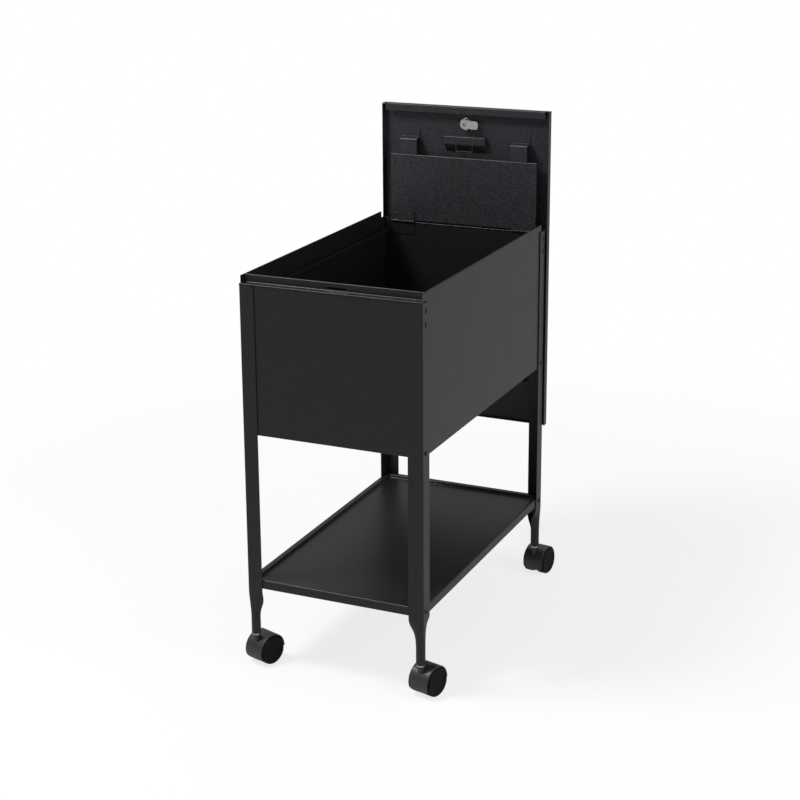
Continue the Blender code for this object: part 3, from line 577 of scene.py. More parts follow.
# %% Sides with a hem along the rim
WALL = HALF - WALL_INSET
HEM_DROP, HEM_STOP, HEM_ROOM = 9, 17, (12, 3)
NOTCH_START, NOTCH_DROP, HEM_END = 580, 4, 566
for label, side in SIDES.items():
    low, high = span("tub_" + label)
    hem_line = [(WALL, TUB_BASE), (WALL, RIM), (WALL - HEM, RIM), (WALL - HEM, RIM - HEM_DROP)]
    wall = strip([(side * x, low.y, z) for x, z in hem_line], (0, high.y - low.y, 0))
    sheet(wall, STEEL, 1.4, (side, 0, 0), 0.12)
    inner = side * (WALL - CUT_PAST)
    holes = [block((inner, NOTCH_START, LEDGE - NOTCH_DROP),
                   (side * (WALL + HEM), high.y + CUT_PAST, RIM + CUT_PAST))]
    for start in (low.y - 1, HEM_END):
        holes.append(block((inner, start, RIM - HEM_ROOM[0]),
                           (side * (WALL - 1.02 * STEEL), start + HEM_STOP, RIM + HEM_ROOM[1])))
    holes += [screw_hole("screw_tub_" + end + "_" + label) for end in ("front", "rear")]
    settle("hemmed_tub_" + label, carve(wall, *holes), "black_coat", "frame", "tub_" + label)

# %% Back, floor tray and folder rails
low, high = span("tub_back")
back = strip([(low.x, high.y, low.z), (low.x, high.y, high.z)], (high.x - low.x, 0, 0))
sheet(back, STEEL, 0, (0, 1, 0), 0.3)
RIB, RIB_DROP, RIB_GAP = 1.1, 6.5, 0.5
rib_end = Vector((span("hinge_fixed_leaf_right")[0].x - RIB_GAP, high.y - RIB, high.z - RIB_DROP))
rib_start = Vector((-rib_end.x, rib_end.y, rib_end.z))
back = carve(back, bar(RIB, rib_start, rib_end, 24), how="UNION")
settle("tub_back_sheet", back, "black_coat", "frame", "tub_back")


def tray(rings, middle_y):
    """Sheet drawn from its floor outwards, through rings of (half width, half depth, height)."""
    shape = bmesh.new()
    wide, deep, height = rings[0]
    base = Matrix.Translation((0, middle_y, height)) @ Matrix.Diagonal((wide, deep, 1, 1))
    bmesh.ops.create_grid(shape, x_segments=1, y_segments=1, size=1, matrix=base)
    for next_wide, next_deep, next_height in rings[1:]:
        rim = [edge for edge in shape.edges if edge.is_boundary]
        ends = grow(shape, rim, (0, 0, next_height - height))
        moved = list({vert for edge in ends for vert in edge.verts})
        bmesh.ops.scale(shape, vec=(next_wide / wide, next_deep / deep, 1), verts=moved,
                        space=Matrix.Translation((0, -middle_y, 0)))
        wide, deep, height = next_wide, next_deep, next_height
    return shape


low, high = span("tub_floor")
inside = (high.x - STEEL, (high.y - low.y) / 2 - STEEL)
floor_tray = tray([(*inside, low.z + STEEL), (*inside, high.z)], (low.y + high.y) / 2)
settle("tub_floor_tray", sheet(floor_tray, STEEL, 2, (0, 0, 1)), "black_coat", "frame", "tub_floor")

RAIL_LIP = 8
for label, side in SIDES.items():
    low, high = span("folder_rail_" + label)
    far, near = sorted((abs(low.x), abs(high.x)))
    rail_line = [(near, low.z), (near, high.z - RAIL_LIP), (far, high.z - RAIL_LIP), (far, high.z)]
    rail = strip([(side * x, low.y, z) for x, z in rail_line], (0, high.y - low.y, 0))
    settle("folded_rail_" + label, sheet(rail, STEEL, 1.6, (0, 0, 1), 0.25), "black_coat", "frame",
           "folder_rail_" + label)

# %% [markdown]
# ## Lower shelf
# The shelf is a pressed tray: a floor, a low step up to a flat rim, and an edge turned down. It could
# be joined from five plates, but extruding the border of one rectangle from ring to ring gives all of
# it at once, corners included.

# %% Pressed shelf
low, high = span("lower_shelf")
half_x, half_y, middle_y = high.x, (high.y - low.y) / 2, (low.y + high.y) / 2
RIM_WIDTH, DISH = 12, 6
shelf = tray([
    (half_x - RIM_WIDTH, half_y - RIM_WIDTH, high.z - DISH),
    (half_x - RIM_WIDTH, half_y - RIM_WIDTH, high.z),
    (half_x, half_y, high.z),
    (half_x, half_y, low.z),
], middle_y)
sheet(shelf, STEEL, 2.2, (0, 0, 1))
holes = [screw_hole("screw_shelf_" + corner) for corner in CORNERS]
settle("pressed_shelf", carve(shelf, *holes), "black_coat", "frame", "lower_shelf")

# %% [markdown]
# ## Screws
# The tub and the shelf hang on eight pan-head screws. A ball cut in half would do from afar, but a spun
# profile has the flat edge of a real head, and the cross in it is cut with two thin blocks.

# %% Pan-head screws with a cross recess
SCREW_LINE = [(0, 2.2), (1.4, 2.12), (2.6, 1.8), (3.5, 1.2), (3.95, 0.45), (4, 0.1), (3.9, 0),
              (1.7, 0), (1.7, -2.2), (1.3, -2.6), (0, -2.6)]
CROSS_REACH, CROSS_HALF, CROSS_BASE, CROSS_TOP = 2.1, 0.4, 1.0, 3
SCREW_SEAT, FIRST_TILT, NEXT_TILT = 0.3, 20, 31
for kind in ("tub", "shelf"):
    for corner, (side, rear) in CORNERS.items():
        node = "screw_" + kind + "_" + corner
        cross = [block((-wide, -deep, CROSS_BASE), (wide, deep, CROSS_TOP))
                 for wide, deep in ((CROSS_REACH, CROSS_HALF), (CROSS_HALF, CROSS_REACH))]
        head = carve(turned(SCREW_LINE, 32), *cross)
        seat = centre(node)
        seat.x = side * (HALF + SCREW_SEAT)
        tilt = Matrix.Rotation(math.radians(FIRST_TILT + NEXT_TILT * len(corner)), 4, "Z")
        lay = Matrix.Translation(seat) @ Matrix.Rotation(side * math.pi / 2, 4, "Y") @ tilt
        settle("cross_" + node, placed(head, lay), "black_coat", "frame", node)

# %% [markdown]
# ## Hinges
# Two small hinges join the tub's back to the carrier panel. Each leaf is a stamped plate with a rolled
# knuckle. Rolling the sheet itself is possible, but the roll hardly shows, so the plate is a block with
# rounded corners, the knuckle a bar joined to it and the pin hole a second bar cut out. Two rivets sit
# on the moving leaf.

# %% Hinge leaves, knuckles and rivets
AXIS_Y, AXIS_Z = centre("hinge_pin_left").yz
KNUCKLE, PIN_HOLE = 2.4, 1.75
LEAF_SHEET, LEAF_HEIGHT, LEAF_CORNER = 1.2, 26, 3
KNUCKLE_SHARE, KNUCKLE_GAP, KNUCKLE_ROOM = 0.34, 0.15, 0.3
NECK_SINK, RIVET_RISE, RIVET_SHARES = 0.5, 16, (0.22, 0.78)


def rivet(x, y, z):
    """A low dome that looks towards the front."""
    dome = turned([(0, 0.9), (1.0, 0.8), (1.8, 0.5), (2.1, 0.1), (2.1, -0.8), (0, -0.8)], 24)
    return placed(dome, Matrix.Translation((x, y, z)) @ Matrix.Rotation(math.pi / 2, 4, "X"))


def hinge_leaf(side, inner, outer, knuckle, plate_y, way):
    """The moving plate above the pin (way 1) or the fixed one below it (way -1), with its knuckle."""
    far = AXIS_Z + way * LEAF_HEIGHT
    clear = AXIS_Z + way * (KNUCKLE + KNUCKLE_ROOM)
    plate = block((side * inner, plate_y, clear), (side * outer, plate_y + LEAF_SHEET, far))
    corners = [edge for edge in edges_along(plate.edges, "y", 1) if abs(edge.verts[0].co.z - far) < 0.01]
    soften(plate, corners, LEAF_CORNER, 5)
    neck = block((side * knuckle[0], plate_y, AXIS_Z + way * (KNUCKLE - NECK_SINK)),
                 (side * knuckle[1], plate_y + LEAF_SHEET, clear + way * LEAF_CORNER))
    roll = bar(KNUCKLE, (side * knuckle[0], AXIS_Y, AXIS_Z), (side * knuckle[1], AXIS_Y, AXIS_Z))
    plate = carve(plate, neck, roll, how="UNION")
    pin_ends = [(side * x, AXIS_Y, AXIS_Z) for x in (inner - 1, outer + 1)]
    plate = carve(plate, bar(PIN_HOLE, *pin_ends))
    if way == 1:
        places = [side * between(inner, outer, share) for share in RIVET_SHARES]
        plate = carve(plate, *[rivet(x, plate_y, AXIS_Z + RIVET_RISE) for x in places], how="UNION")
    return plate


for label, side in SIDES.items():
    low, high = span("hinge_moving_leaf_" + label)
    inner, outer = sorted((abs(low.x), abs(high.x)))
    split = outer - (outer - inner) * KNUCKLE_SHARE
    moving = hinge_leaf(side, inner, outer, (inner, split - KNUCKLE_GAP), low.y, 1)
    # Painted light: the moving plate wears the paler lid coat instead of its own black coat, standing in
    # for bounced light.
    settle("hinge_moving_plate_" + label, moving, "black_coat", "lid_carrier",
           "hinge_moving_leaf_" + label, painted_light_coat="lid_coat")
    fixed = hinge_leaf(side, inner, outer, (split + KNUCKLE_GAP, outer), AXIS_Y + LEAF_SHEET, -1)
    settle("hinge_fixed_plate_" + label, fixed, "black_coat", "frame", "hinge_fixed_leaf_" + label)

# %% [markdown]
# ## Carrier panel and guides
# The panel swings on the hinges and carries the lid, which slides on it. Its top edge is turned back,
# so a light line runs along it. The lid's guides are folded channels, and plastic shoes on the panel
# run in them. A channel hollowed out of a block would look the same from outside, but a folded strip
# also has the right rounding inside.

# %% Carrier panel, guide channels and shoes
PANEL_SHEET, PANEL_FOLD = 1.2, 1.8
GUIDE_GAP, SHOE_ROOM, SHOE_NECK = 7, 1.8, 6.2
low, high = span("carrier_panel")
panel_line = [(low.y, low.z), (low.y, high.z), (high.y, high.z)]
panel = strip([(low.x, y, z) for y, z in panel_line], (high.x - low.x, 0, 0))
# Painted light: the panel wears the paler lid coat instead of its own black coat, standing in for light
# bounced onto it.
settle("carrier_panel_sheet", sheet(panel, PANEL_SHEET, PANEL_FOLD, (0, -1, 0), 0.25), "black_coat",
       "lid_carrier", "carrier_panel", painted_light_coat="lid_coat")
for label in SIDES:
    low, high = span("lid_guide_" + label)
    lip = (high.x - low.x) / 2 - GUIDE_GAP
    guide_line = [(low.x + lip, low.y), (low.x, low.y), (low.x, high.y), (high.x, high.y),
                  (high.x, low.y), (high.x - lip, low.y)]
    guide = strip([(x, y, low.z) for x, y in guide_line], (0, 0, high.z - low.z))
    settle("guide_channel_" + label, sheet(guide, STEEL, 1.3, (0, 1, 0), 0.15), "lid_coat", "lid",
           "lid_guide_" + label)

    low, high = span("slide_shoe_" + label)
    middle = (low.x + high.x) / 2
    head_y = span("lid_guide_" + label)[0].y + SHOE_ROOM
    head = block((low.x, head_y, low.z), high)
    neck = block((middle - SHOE_NECK, low.y, low.z), (middle + SHOE_NECK, high.y, high.z))
    shoe = carve(head, neck, how="UNION")
    soften(shoe, sharp_edges(shoe, 50), 0.8, 3)
    settle("moulded_shoe_" + label, shoe, "black_plastic", "lid_carrier", "slide_shoe_" + label)

# %% [markdown]
# ## Lid
# The lid is a shallow pan. Its sides and back edge are turned towards the tub, and its front edge is
# turned twice, into a lip that stiffens the lid. The lip's ends are cut away, so that it passes between
# the tub's walls when the lid shuts. A hollowed block would have sharp corners inside, while extruding
# the border of the flat skin one flange at a time follows the folding. The side flanges stop short
# behind the lip, as they do in a blank with notched corners, and the window for the pull and the hole
# for the lock are cut at the end.

# %% Lid pan with its flanges
low, high = span("lid_pan")
SKIN = high.y
LID_EDGE = low.y
LIP_RETURN, REAR_FLANGE, NOTCH = 14, 9, 1.4
LIP_ROOM, LIP_START, LIP_INSET = 0.5, 2, 1.9
RELIEF_GAP, SKIN_GAP = 0.3, 0.05
WINDOW_SIDE, WINDOW_END, WINDOW_REACH = 1.2, 2.4, 3
LOCK_RADIUS, LOCK_ROOM = 9.5, 0.3
rows = (low.z, high.z - LIP_RETURN - LIP_ROOM, high.z - LIP_START, high.z)
lid = bmesh.new()
left, right = [[lid.verts.new((x, SKIN, z)) for z in rows] for x in (low.x, high.x)]
for step in range(3):
    lid.faces.new((left[step], right[step], right[step + 1], left[step + 1]))
side_edges = [lid.edges.get((line[step], line[step + 1])) for line in (left, right) for step in (0, 1)]
rear_edge = lid.edges.get((left[0], right[0]))
front_edge = lid.edges.get((left[3], right[3]))
ends = grow(lid, side_edges + [rear_edge], (0, -REAR_FLANGE, 0))
ends = grow(lid, edges_along(ends, "z", 5), (0, LID_EDGE - SKIN + REAR_FLANGE + NOTCH, 0))
grow(lid, edges_along(ends, "z", 100), (0, -NOTCH, 0))
lip_fold = grow(lid, [front_edge], (0, LID_EDGE - SKIN, 0))
grow(lid, lip_fold, (0, 0, -LIP_RETURN))
sheet(lid, STEEL, 1.6, (0, 1, 0))
pull_low, pull_high = span("lid_pull")
window_margin = Vector((WINDOW_SIDE, 0, WINDOW_END))
window_low, window_high = pull_low + window_margin, pull_high - window_margin
window_low.y, window_high.y = SKIN - WINDOW_REACH, SKIN + WINDOW_REACH
LOCK_X, LOCK_Z = centre("lock_nut").xz
cutters = [block(window_low, window_high)]
cutters.append(bar(LOCK_RADIUS + LOCK_ROOM, (LOCK_X, SKIN - WINDOW_REACH, LOCK_Z),
                   (LOCK_X, SKIN + WINDOW_REACH, LOCK_Z)))
for way in SIDES.values():
    lip_end = (way * (FIT_HALF - LIP_INSET), LID_EDGE - LIP_START, high.z - LIP_RETURN - LIP_START)
    corner = (way * (high.x - STEEL - RELIEF_GAP), SKIN - STEEL - SKIN_GAP, high.z + LIP_START)
    cutters.append(block(lip_end, corner))
settle("lid_pan_sheet", carve(lid, *cutters), "lid_coat", "lid", "lid_pan")

# %% [markdown]
# ## Stop brackets and pull
# Two Z-shaped brackets, each with a small ridge across it, reach over the panel's top edge and stop the
# lid. The pull is a pressed cup that opens to the outside of the lid: a short upright face above a
# slope, with a frame of wire in front of the slope and two ticks on the face. The cup could be a bent
# strip with two ends added, but a closed outline without its open side has them already.

# %% Brackets
STOP_SHEET, STOP_FOLD, STOP_RISE = 1.5, 1.7, 30
RIDGE_Y, RIDGE_RISE, RIDGE_MARGIN, RIDGE_ROUND = (10, 12), (-1, 5), 0.5, 0.8
for label in SIDES:
    low, high = span("stop_bracket_" + label)
    shelf_z, tongue_y = low.z + STOP_RISE, low.y + STOP_SHEET
    stop_line = [(high.y, high.z), (high.y, shelf_z), (tongue_y, shelf_z), (tongue_y, low.z)]
    stop = strip([(low.x, y, z) for y, z in stop_line], (high.x - low.x, 0, 0))
    sheet(stop, STOP_SHEET, STOP_FOLD, (0, 1, 0), 0.2)
    ridge = block((low.x + RIDGE_MARGIN, low.y + RIDGE_Y[0], shelf_z + RIDGE_RISE[0]),
                  (high.x - RIDGE_MARGIN, low.y + RIDGE_Y[1], shelf_z + RIDGE_RISE[1]))
    ridge_top = [edge for edge in ridge.edges if all(vert.co.z > shelf_z for vert in edge.verts)]
    soften(ridge, ridge_top, RIDGE_ROUND, 3)
    stop = carve(stop, ridge, how="UNION")
    settle("folded_stop_" + label, stop, "lid_coat", "lid", "stop_bracket_" + label)

# %% Pull cup with its frame
low, high = span("lid_pull")
FACE_HEIGHT, CUP_SHEET, CUP_FOLD = 16, 1.2, 1.8
FRAME_HALF, FRAME_TOP, FRAME_BASE, WIRE = 17, 1, 3, 0.9
TICK_OFFSET, TICK_DROP, TICK_HEIGHT, TICK_RADIUS = 12.6, 12, 5, 0.7
cup = slab([(low.x, high.y, high.z), (low.x, low.y, high.z), (low.x, low.y, high.z - FACE_HEIGHT),
            (low.x, high.y, low.z)], (high.x - low.x, 0, 0))
open_side = [face for face in cup.faces if face.normal.y > 0.9]
bmesh.ops.delete(cup, geom=open_side, context="FACES_ONLY")
sheet(cup, CUP_SHEET, CUP_FOLD, (0, -1, 0), 0.2)
post_ends = (high.z - FACE_HEIGHT + FRAME_TOP, low.z + FRAME_BASE)
posts = [[Vector((way * FRAME_HALF, low.y + WIRE, z)) for z in post_ends] for way in SIDES.values()]
wires = [bar(WIRE, *post, 16) for post in posts]
wires.append(bar(WIRE, posts[0][1], posts[1][1], 16))
for way in SIDES.values():
    tick = Vector((way * TICK_OFFSET, low.y, high.z - TICK_DROP))
    wires.append(bar(TICK_RADIUS, tick, tick + TICK_HEIGHT * UP, 12))
settle("pressed_pull", carve(cup, *wires, how="UNION"), "lid_coat", "lid", "lid_pull")

# %% [markdown]
# ## Lock
# A cam lock is a threaded barrel held by a ring nut, with a plug that turns inside it and a cam on the
# plug's end. The round pieces are spun. A real thread is a helix, but at this size rings of fine
# grooves look the same and stay closed. The nuts are six-sided bars with chamfers, and the cam is a
# rounded plate with a waist.

# %% Barrel, nut, plug, cam
low, high = span("lock_barrel")
LOCK_AXIS = Matrix.Translation((LOCK_X, 0, LOCK_Z)) @ Matrix.Rotation(-math.pi / 2, 4, "X")
RIM_RADIUS, RIM_DEPTH, PLUG_BORE = 11.5, 1.6, 5.3
THREAD_START, THREAD_PITCH, THREAD_DEPTH, GROOVE = 2.6, 0.9, 0.45, 0.35
barrel_line = [(PLUG_BORE, high.y), (RIM_RADIUS - 1, high.y), (RIM_RADIUS - 0.4, high.y - 0.25),
               (RIM_RADIUS, high.y - RIM_DEPTH / 2), (RIM_RADIUS, high.y - RIM_DEPTH),
               (LOCK_RADIUS, high.y - RIM_DEPTH)]
thread = high.y - THREAD_START
while thread > low.y + 1:
    barrel_line += [(LOCK_RADIUS, thread), (LOCK_RADIUS - THREAD_DEPTH, thread - GROOVE),
                    (LOCK_RADIUS, thread - 2 * GROOVE)]
    thread -= THREAD_PITCH
barrel_line += [(LOCK_RADIUS - 0.4, low.y), (PLUG_BORE, low.y)]
barrel = turned(barrel_line, 56, closed=True)
settle("threaded_barrel", placed(barrel, LOCK_AXIS), "chrome", "lid", "lock_barrel")


def hex_nut(low, high, radius, hole):
    nut = bar(radius, (LOCK_X, low, LOCK_Z), (LOCK_X, high, LOCK_Z), 6)
    rims = [edge for edge in nut.edges if abs(edge.verts[0].co.y - edge.verts[1].co.y) < 0.01]
    soften(nut, rims, 0.45, 2)
    return carve(nut, bar(hole, (LOCK_X, low - 1, LOCK_Z), (LOCK_X, high + 1, LOCK_Z)))


RING_NUT, CAM_NUT, TENON, TENON_HOLE = 13, 4.6, 2.6, 2.9
low, high = span("lock_nut")
settle("ring_nut", hex_nut(low.y, high.y, RING_NUT, LOCK_RADIUS + LOCK_ROOM), "chrome", "lid", "lock_nut")
low, high = span("lock_cam_nut")
settle("cam_nut", hex_nut(low.y, high.y, CAM_NUT, TENON_HOLE), "zinc_steel", "lock", "lock_cam_nut")

low, high = span("lock_plug")
cam_low, cam_high = span("lock_cam")
KEY_HALF, KEY_REACH, KEY_DEPTH = 0.7, 3.2, 3
END_HOLE, END_DEPTH = 1.9, 5
shoulder = cam_high.y + 0.3
plug = turned([(0, high.y), (4.4, high.y), (5, high.y - 0.5), (5, shoulder), (TENON, shoulder),
               (TENON, low.y + 0.4), (TENON - 0.4, low.y), (0, low.y)], 40)
key_way = block((LOCK_X - KEY_HALF, high.y - KEY_DEPTH, LOCK_Z - KEY_REACH),
                (LOCK_X + KEY_HALF, high.y + 2, LOCK_Z + KEY_REACH))
end_hole = bar(END_HOLE, (LOCK_X, low.y - 2, LOCK_Z), (LOCK_X, low.y + END_DEPTH, LOCK_Z), 24)
settle("key_plug", carve(placed(plug, LOCK_AXIS), key_way, end_hole), "chrome", "lock", "lock_plug")

CAM_TILT = math.radians(-2)
CAM_REACH, CAM_HALF, CAM_HUB, CAM_WAIST, CAM_ROUND = 28, 8, 9, 7, 5.5
hub = bar(CAM_HUB, (0, cam_low.y, 0), (0, cam_high.y, 0), 56)
arm = block((0, cam_low.y, -CAM_WAIST), (CAM_REACH - CAM_HALF, cam_high.y, CAM_WAIST))
tip = block((CAM_REACH - 2 * CAM_HALF, cam_low.y, -CAM_HALF), (CAM_REACH, cam_high.y, CAM_HALF))
tip_corners = [edge for edge in edges_along(tip.edges, "y", 1) if edge.verts[0].co.x > CAM_REACH - 1]
soften(tip, tip_corners, CAM_ROUND, 8)
cam = carve(hub, arm, tip, how="UNION")
cam = carve(cam, bar(TENON_HOLE, (0, cam_low.y - 1, 0), (0, cam_high.y + 1, 0)))
bmesh.ops.dissolve_limit(cam, angle_limit=0.01, verts=cam.verts, edges=cam.edges)
rims = [edge for edge in sharp_edges(cam, 60) if abs(edge.verts[0].co.y - edge.verts[1].co.y) < 0.01]
soften(cam, rims, 0.55, 3)
placed(cam, Matrix.Translation((LOCK_X, 0, LOCK_Z)) @ Matrix.Rotation(-CAM_TILT, 4, "Y"))
settle("lock_cam_plate", cam, "chrome", "lock", "lock_cam")

# %% [markdown]
# ## Casters
# A twin-wheel caster has a moulded hood over its two wheels and a steel stem that plugs into the leg.
# Only a bright ring of the stem shows. The hood is a thick band round the axle with a web in the
# middle, and a boss under the ring runs down to a point in its front. A sector of a disc, joined with a
# cone and hollowed with two bars, gives that form. Its lower corners are cut round, because a bevel
# there would run into the hollow. Wheels and stems are spun.

# %% Hoods, wheels and stems
RADIUS = (span("front_left_wheel_left")[1].z - span("front_left_wheel_left")[0].z) / 2
TRAIL = 20
HOOD_IN = RADIUS + 1.3
HOOD_OUT = HOOD_IN + 2.2
HOOD_HALF, WEB, HUB = 20.5, 5, 8
HOOD_FRONT, HOOD_CORNER = 208, 9
RING_HEIGHT, SEAT = 3, 0.3
RING_TOP = FOOT - SEAT
RING_BASE = RING_TOP - RING_HEIGHT
BOSS_TOP = RING_BASE - SEAT - RADIUS
BOSS_HEIGHT, BOSS_TIP, BOSS_RADIUS = 20, 3, 8
STEM_HOLE, BORE_ENDS = 3.9, (-12, 8)
AXLE_HOLE, AXLE_REACH, POCKET_REACH = 3.3, 20, 60


def pie(radius, start, end, half, steps=40):
    """A sector of a disc round the axle, as a bar across the caster."""
    points = [Vector((0, 0, 0))]
    for step in range(steps + 1):
        turn = math.radians(start + (end - start) * step / steps)
        points.append(Vector((0, radius * math.cos(turn), radius * math.sin(turn))))
    return slab([(-half, point.y, point.z) for point in points], (2 * half, 0, 0))


def corner_cutter(way):
    """What is cut away to round a lower front corner of the hood."""
    x = way * (HOOD_HALF - HOOD_CORNER)
    z = HOOD_OUT * math.sin(math.radians(HOOD_FRONT)) + HOOD_CORNER
    square = block((x, -2 * HOOD_OUT, -2 * HOOD_OUT), (way * 2 * HOOD_HALF, -HOOD_OUT / 2, z))
    round_end = bar(HOOD_CORNER, (x, -3 * HOOD_OUT, z), (x, 0, z))
    return carve(square, round_end)


def hood():
    """A hood with its axle along X at the origin and its stem at Y = -TRAIL."""
    shape = pie(HOOD_OUT, 0, HOOD_FRONT, HOOD_HALF)
    middle = [edge for edge in shape.edges if max(vert.co.yz.length for vert in edge.verts) < 1]
    soften(shape, middle, HUB, 6)
    rims = [edge for edge in sharp_edges(shape, 50) if edge.calc_length() < 10
            and min(vert.co.yz.length for vert in edge.verts) > HOOD_IN]
    soften(shape, rims, 0.9, 3)
    axle = bar(HUB, (-WEB, 0, 0), (WEB, 0, 0))
    boss = bmesh.new()
    bmesh.ops.create_cone(boss, cap_ends=True, segments=48, radius1=BOSS_TIP, radius2=BOSS_RADIUS,
                          depth=BOSS_HEIGHT,
                          matrix=Matrix.Translation((0, -TRAIL, BOSS_TOP - BOSS_HEIGHT / 2)))
    soften(boss, [edge for edge in sharp_edges(boss, 50) if edge.verts[0].co.z > BOSS_TOP - 1], 0.7, 2)
    shape = carve(shape, axle, boss, how="UNION")
    pockets = [bar(HOOD_IN, (way * WEB, 0, 0), (way * POCKET_REACH, 0, 0), 80) for way in (-1, 1)]
    bore = bar(STEM_HOLE, *[(0, -TRAIL, BOSS_TOP + end) for end in BORE_ENDS], 24)
    axle_hole = bar(AXLE_HOLE, (-AXLE_REACH, 0, 0), (AXLE_REACH, 0, 0), 24)
    return carve(shape, *pockets, bore, axle_hole, *[corner_cutter(way) for way in (-1, 1)])


def wheel():
    """Half of a twin wheel along Z, its outer face on top."""
    tread = RADIUS
    return turned([
        (0, 22.2), (4.0, 22.2), (4.6, 22.35), (5.2, 22.7), (6.0, 22.7), (7.2, 22.4), (tread - 8.5, 22.4),
        (tread - 7.2, 22.55), (tread - 6.2, 23.2), (tread - 5.2, 23.5), (tread - 3.4, 23.5),
        (tread - 2.1, 23.2), (tread - 1.0, 22.3), (tread - 0.3, 21.2), (tread, 19.8), (tread, 8.2),
        (tread - 0.3, 6.9), (tread - 1.2, 6.0), (tread - 2.0, 5.8), (9, 5.8), (AXLE_HOLE, 5.8),
        (AXLE_HOLE, 19.8), (0, 19.8),
    ], 80)


def stem(top):
    """A stem along Z, from its bright ring up to its rounded end."""
    return turned([
        (0, top), (3.2, top), (4.2, top - 0.6), (5, top - 2.5), (5, top - 8), (4.5, top - 8.5),
        (4.5, top - 11), (5, top - 11.5), (5, RING_TOP), (6.9, RING_TOP), (7.4, RING_TOP - 0.5),
        (7.4, RING_BASE + 0.5), (6.9, RING_BASE), (3.6, RING_BASE), (3.6, RING_BASE - 11.8),
        (3.4, RING_BASE - 12), (0, RING_BASE - 12),
    ], 48)


for corner in CORNERS:
    axle = centre(corner + "_axle")
    post = centre(corner + "_stem")
    post.z = 0
    trail = axle - post
    turn = Matrix.Rotation(math.atan2(-trail.x, trail.y), 4, "Z")
    stand = Matrix.Translation(axle) @ turn
    settle("moulded_hood_" + corner, placed(hood(), stand), "black_plastic", corner + "_caster",
           corner + "_hood")
    ringed = stem(span(corner + "_stem")[1].z)
    settle("ringed_stem_" + corner, placed(ringed, Matrix.Translation(post)), "zinc_steel", "frame",
           corner + "_stem")
    for label, way in SIDES.items():
        lay = Matrix.Rotation(way * math.pi / 2, 4, "Y")
        settle("rolling_wheel_" + corner + "_" + label, placed(wheel(), stand @ lay), "wheel_plastic",
               corner + "_wheel_" + label, corner + "_wheel_" + label)

# %% [markdown]
# ## Solids that stay
# Hinge pins and axles are plain round bars on the real cabinet too, and hardly show. They keep their
# solids and only get their plated finish.

# %% Finish the solids that are still shown
slot_of = {row["node"]: row["material_slot"] for row in frame["record"]["subparts"]}
for name, node in frame["nodes"].items():
    node.data.materials.clear()
    node.data.materials.append(FINISH[slot_of[name]])
print("solids with a finish", len(slot_of))

# %% [markdown]
# ## Studio
# The photograph has a white ground and soft light. Here a key lamp stands at the upper left in front,
# and a wider, weaker fill at the right. Black satin metal mostly shows what it reflects, and a white
# room all round would turn it grey. So the camera sees white, while reflections see the ground at half
# strength and grey walls that brighten upwards. Part of the ground near the cabinet stays a lit
# surface, so that it keeps the shadow.


# %% White ground, world and lamps
def seen_directly(flow):
    """1 for rays from the camera, a reflection or glass, and 0 for light that is scattered."""
    names = ("Is Camera Ray", "Is Glossy Ray", "Is Transmission Ray")
    camera, glossy, glass = [flow.node("ShaderNodeLightPath", output=name) for name in names]
    return mask(flow, camera + glossy + glass, 0.0, 1.0)


def lit_share(flow):
    """How much of the ground is a lit surface: a part of it near the cabinet, none far away."""
    place = flow.node("ShaderNodeTexCoord", output="Object")
    away = flow.node("ShaderNodeVectorMath", {"operation": "LENGTH"}, {0: place}, output="Value")
    return LIT_GROUND - LIT_GROUND * mask(flow, away, LIT_NEAR, LIT_FAR)


GROUND_RADIUS, MIRRORED_GROUND = 14, 0.5
LIT_GROUND, LIT_NEAR, LIT_FAR = 0.22, 0.7, 1.8
ground = bmesh.new()
bmesh.ops.create_circle(ground, cap_ends=True, radius=GROUND_RADIUS, segments=96)
floor = as_object("studio_ground", ground)
paper, flow = start_material("white_ground")
lit = flow.node("ShaderNodeBsdfDiffuse", None, {"Color": grey(0.9)})
camera_ray = flow.node("ShaderNodeLightPath", output="Is Camera Ray")
bright = flow.node("ShaderNodeEmission", None, {
    "Color": grey(1.0), "Strength": MIRRORED_GROUND + (1 - MIRRORED_GROUND) * camera_ray})
shown = flow.node("ShaderNodeMixShader", None, {
    0: (1 - lit_share(flow)) * seen_directly(flow), 1: lit, 2: bright})
flow.node("ShaderNodeOutputMaterial", None, {"Surface": shown})
floor.data.materials.append(paper)

world = bpy.data.worlds.new("studio")
bpy.context.scene.world = world
world.use_nodes = True
world.node_tree.nodes.clear()
flow = Flow(world.node_tree)
AMBIENT, WALL_GREY, WALL_FADE = 0.36, 0.27, (0.35, 0.9)
direction = flow.node("ShaderNodeTexCoord", output="Generated")
upward = flow.node("ShaderNodeSeparateXYZ", None, {"Vector": direction}, output="Z")
height = mask(flow, upward, *WALL_FADE)
camera_ray = flow.node("ShaderNodeLightPath", output="Is Camera Ray")
mirrored = (seen_directly(flow) - camera_ray) * (WALL_GREY + (1 - WALL_GREY) * height)
scattered = AMBIENT * (1 - seen_directly(flow))
sky = flow.node("ShaderNodeBackground", None, {
    "Color": grey(1.0), "Strength": camera_ray + mirrored + scattered})
flow.node("ShaderNodeOutputWorld", None, {"Surface": sky})


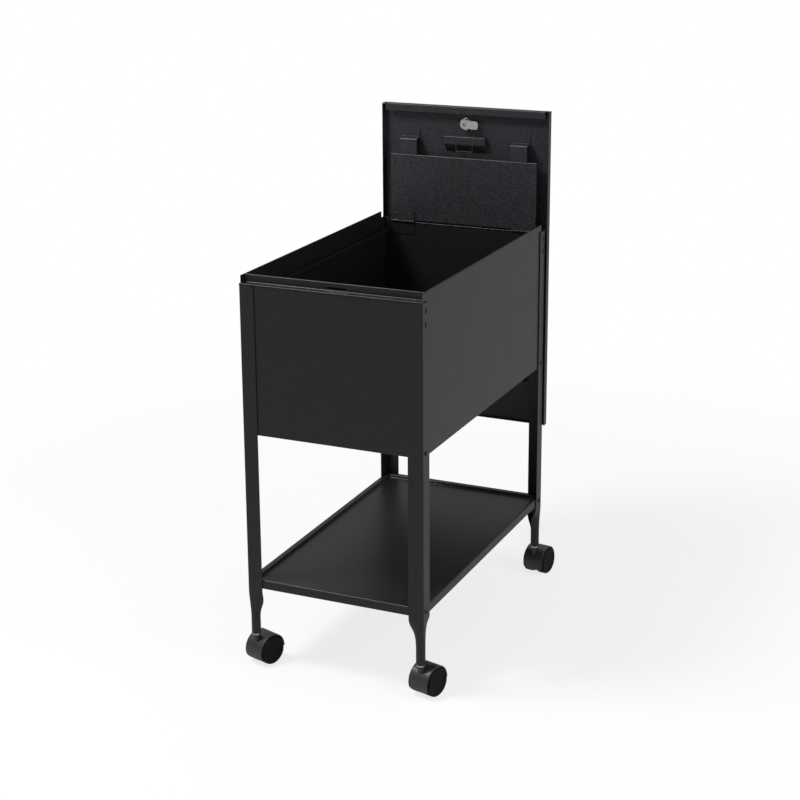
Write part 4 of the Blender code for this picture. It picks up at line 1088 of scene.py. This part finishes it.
def softbox(name, place, aim, size, power):
    lamp = bpy.data.lights.new(name, "AREA")
    lamp.shape = "RECTANGLE"
    lamp.size, lamp.size_y = size
    lamp.energy = power
    item = bpy.data.objects.new(name, lamp)
    item.location = place
    item.rotation_euler = (Vector(place) - Vector(aim)).to_track_quat("Z", "Y").to_euler()
    bpy.context.scene.collection.objects.link(item)


softbox("key_box", place=(-1.25, -1.15, 2.9), aim=(0, 0, 0.6), size=(0.8, 0.8), power=75)
softbox("fill_box", place=(2.5, -0.4, 1.5), aim=(0, 0, 0.5), size=(1.4, 1.4), power=26)
print("studio ready")

# %% [markdown]
# ## Camera
# The camera was fitted to the cabinet's edges in the photograph: a long lens from the front right, a
# little above the rim. The small shift only puts the cabinet where the photograph has it.

# %% Camera at the photograph's angle
AZIMUTH, ELEVATION, ROLL = math.radians(24.1934), math.radians(15.9969), math.radians(-0.3694)
DISTANCE, FOCUS_PIXELS, IMAGE_PIXELS, MIDDLE_ROW = 3252.36, 1759.5, 800, 340
aim = Vector((-3.92, 300, 555.26))
back = Vector((math.sin(AZIMUTH) * math.cos(ELEVATION), -math.cos(AZIMUTH) * math.cos(ELEVATION),
               math.sin(ELEVATION)))
right = Vector((math.cos(AZIMUTH), math.sin(AZIMUTH), 0))
up = back.cross(right)
tilted_right = right * math.cos(ROLL) + up * math.sin(ROLL)
tilted_up = up * math.cos(ROLL) - right * math.sin(ROLL)
lens = bpy.data.cameras.new("photo_camera")
lens.sensor_width = 36
lens.sensor_fit = "HORIZONTAL"
lens.lens = FOCUS_PIXELS / IMAGE_PIXELS * lens.sensor_width
lens.shift_y = (MIDDLE_ROW - IMAGE_PIXELS / 2) / IMAGE_PIXELS
lens.clip_end = 100
camera = bpy.data.objects.new("photo_camera", lens)
turn = Matrix((tilted_right, tilted_up, back)).transposed().to_4x4()
camera.matrix_world = Matrix.Translation(ORIGIN + (aim + back * DISTANCE) * MM) @ turn
bpy.context.scene.collection.objects.link(camera)
bpy.context.scene.camera = camera
bpy.context.scene.view_settings.view_transform = "Standard"
print("lens", round(lens.lens, 2), "shift", round(lens.shift_y, 4))
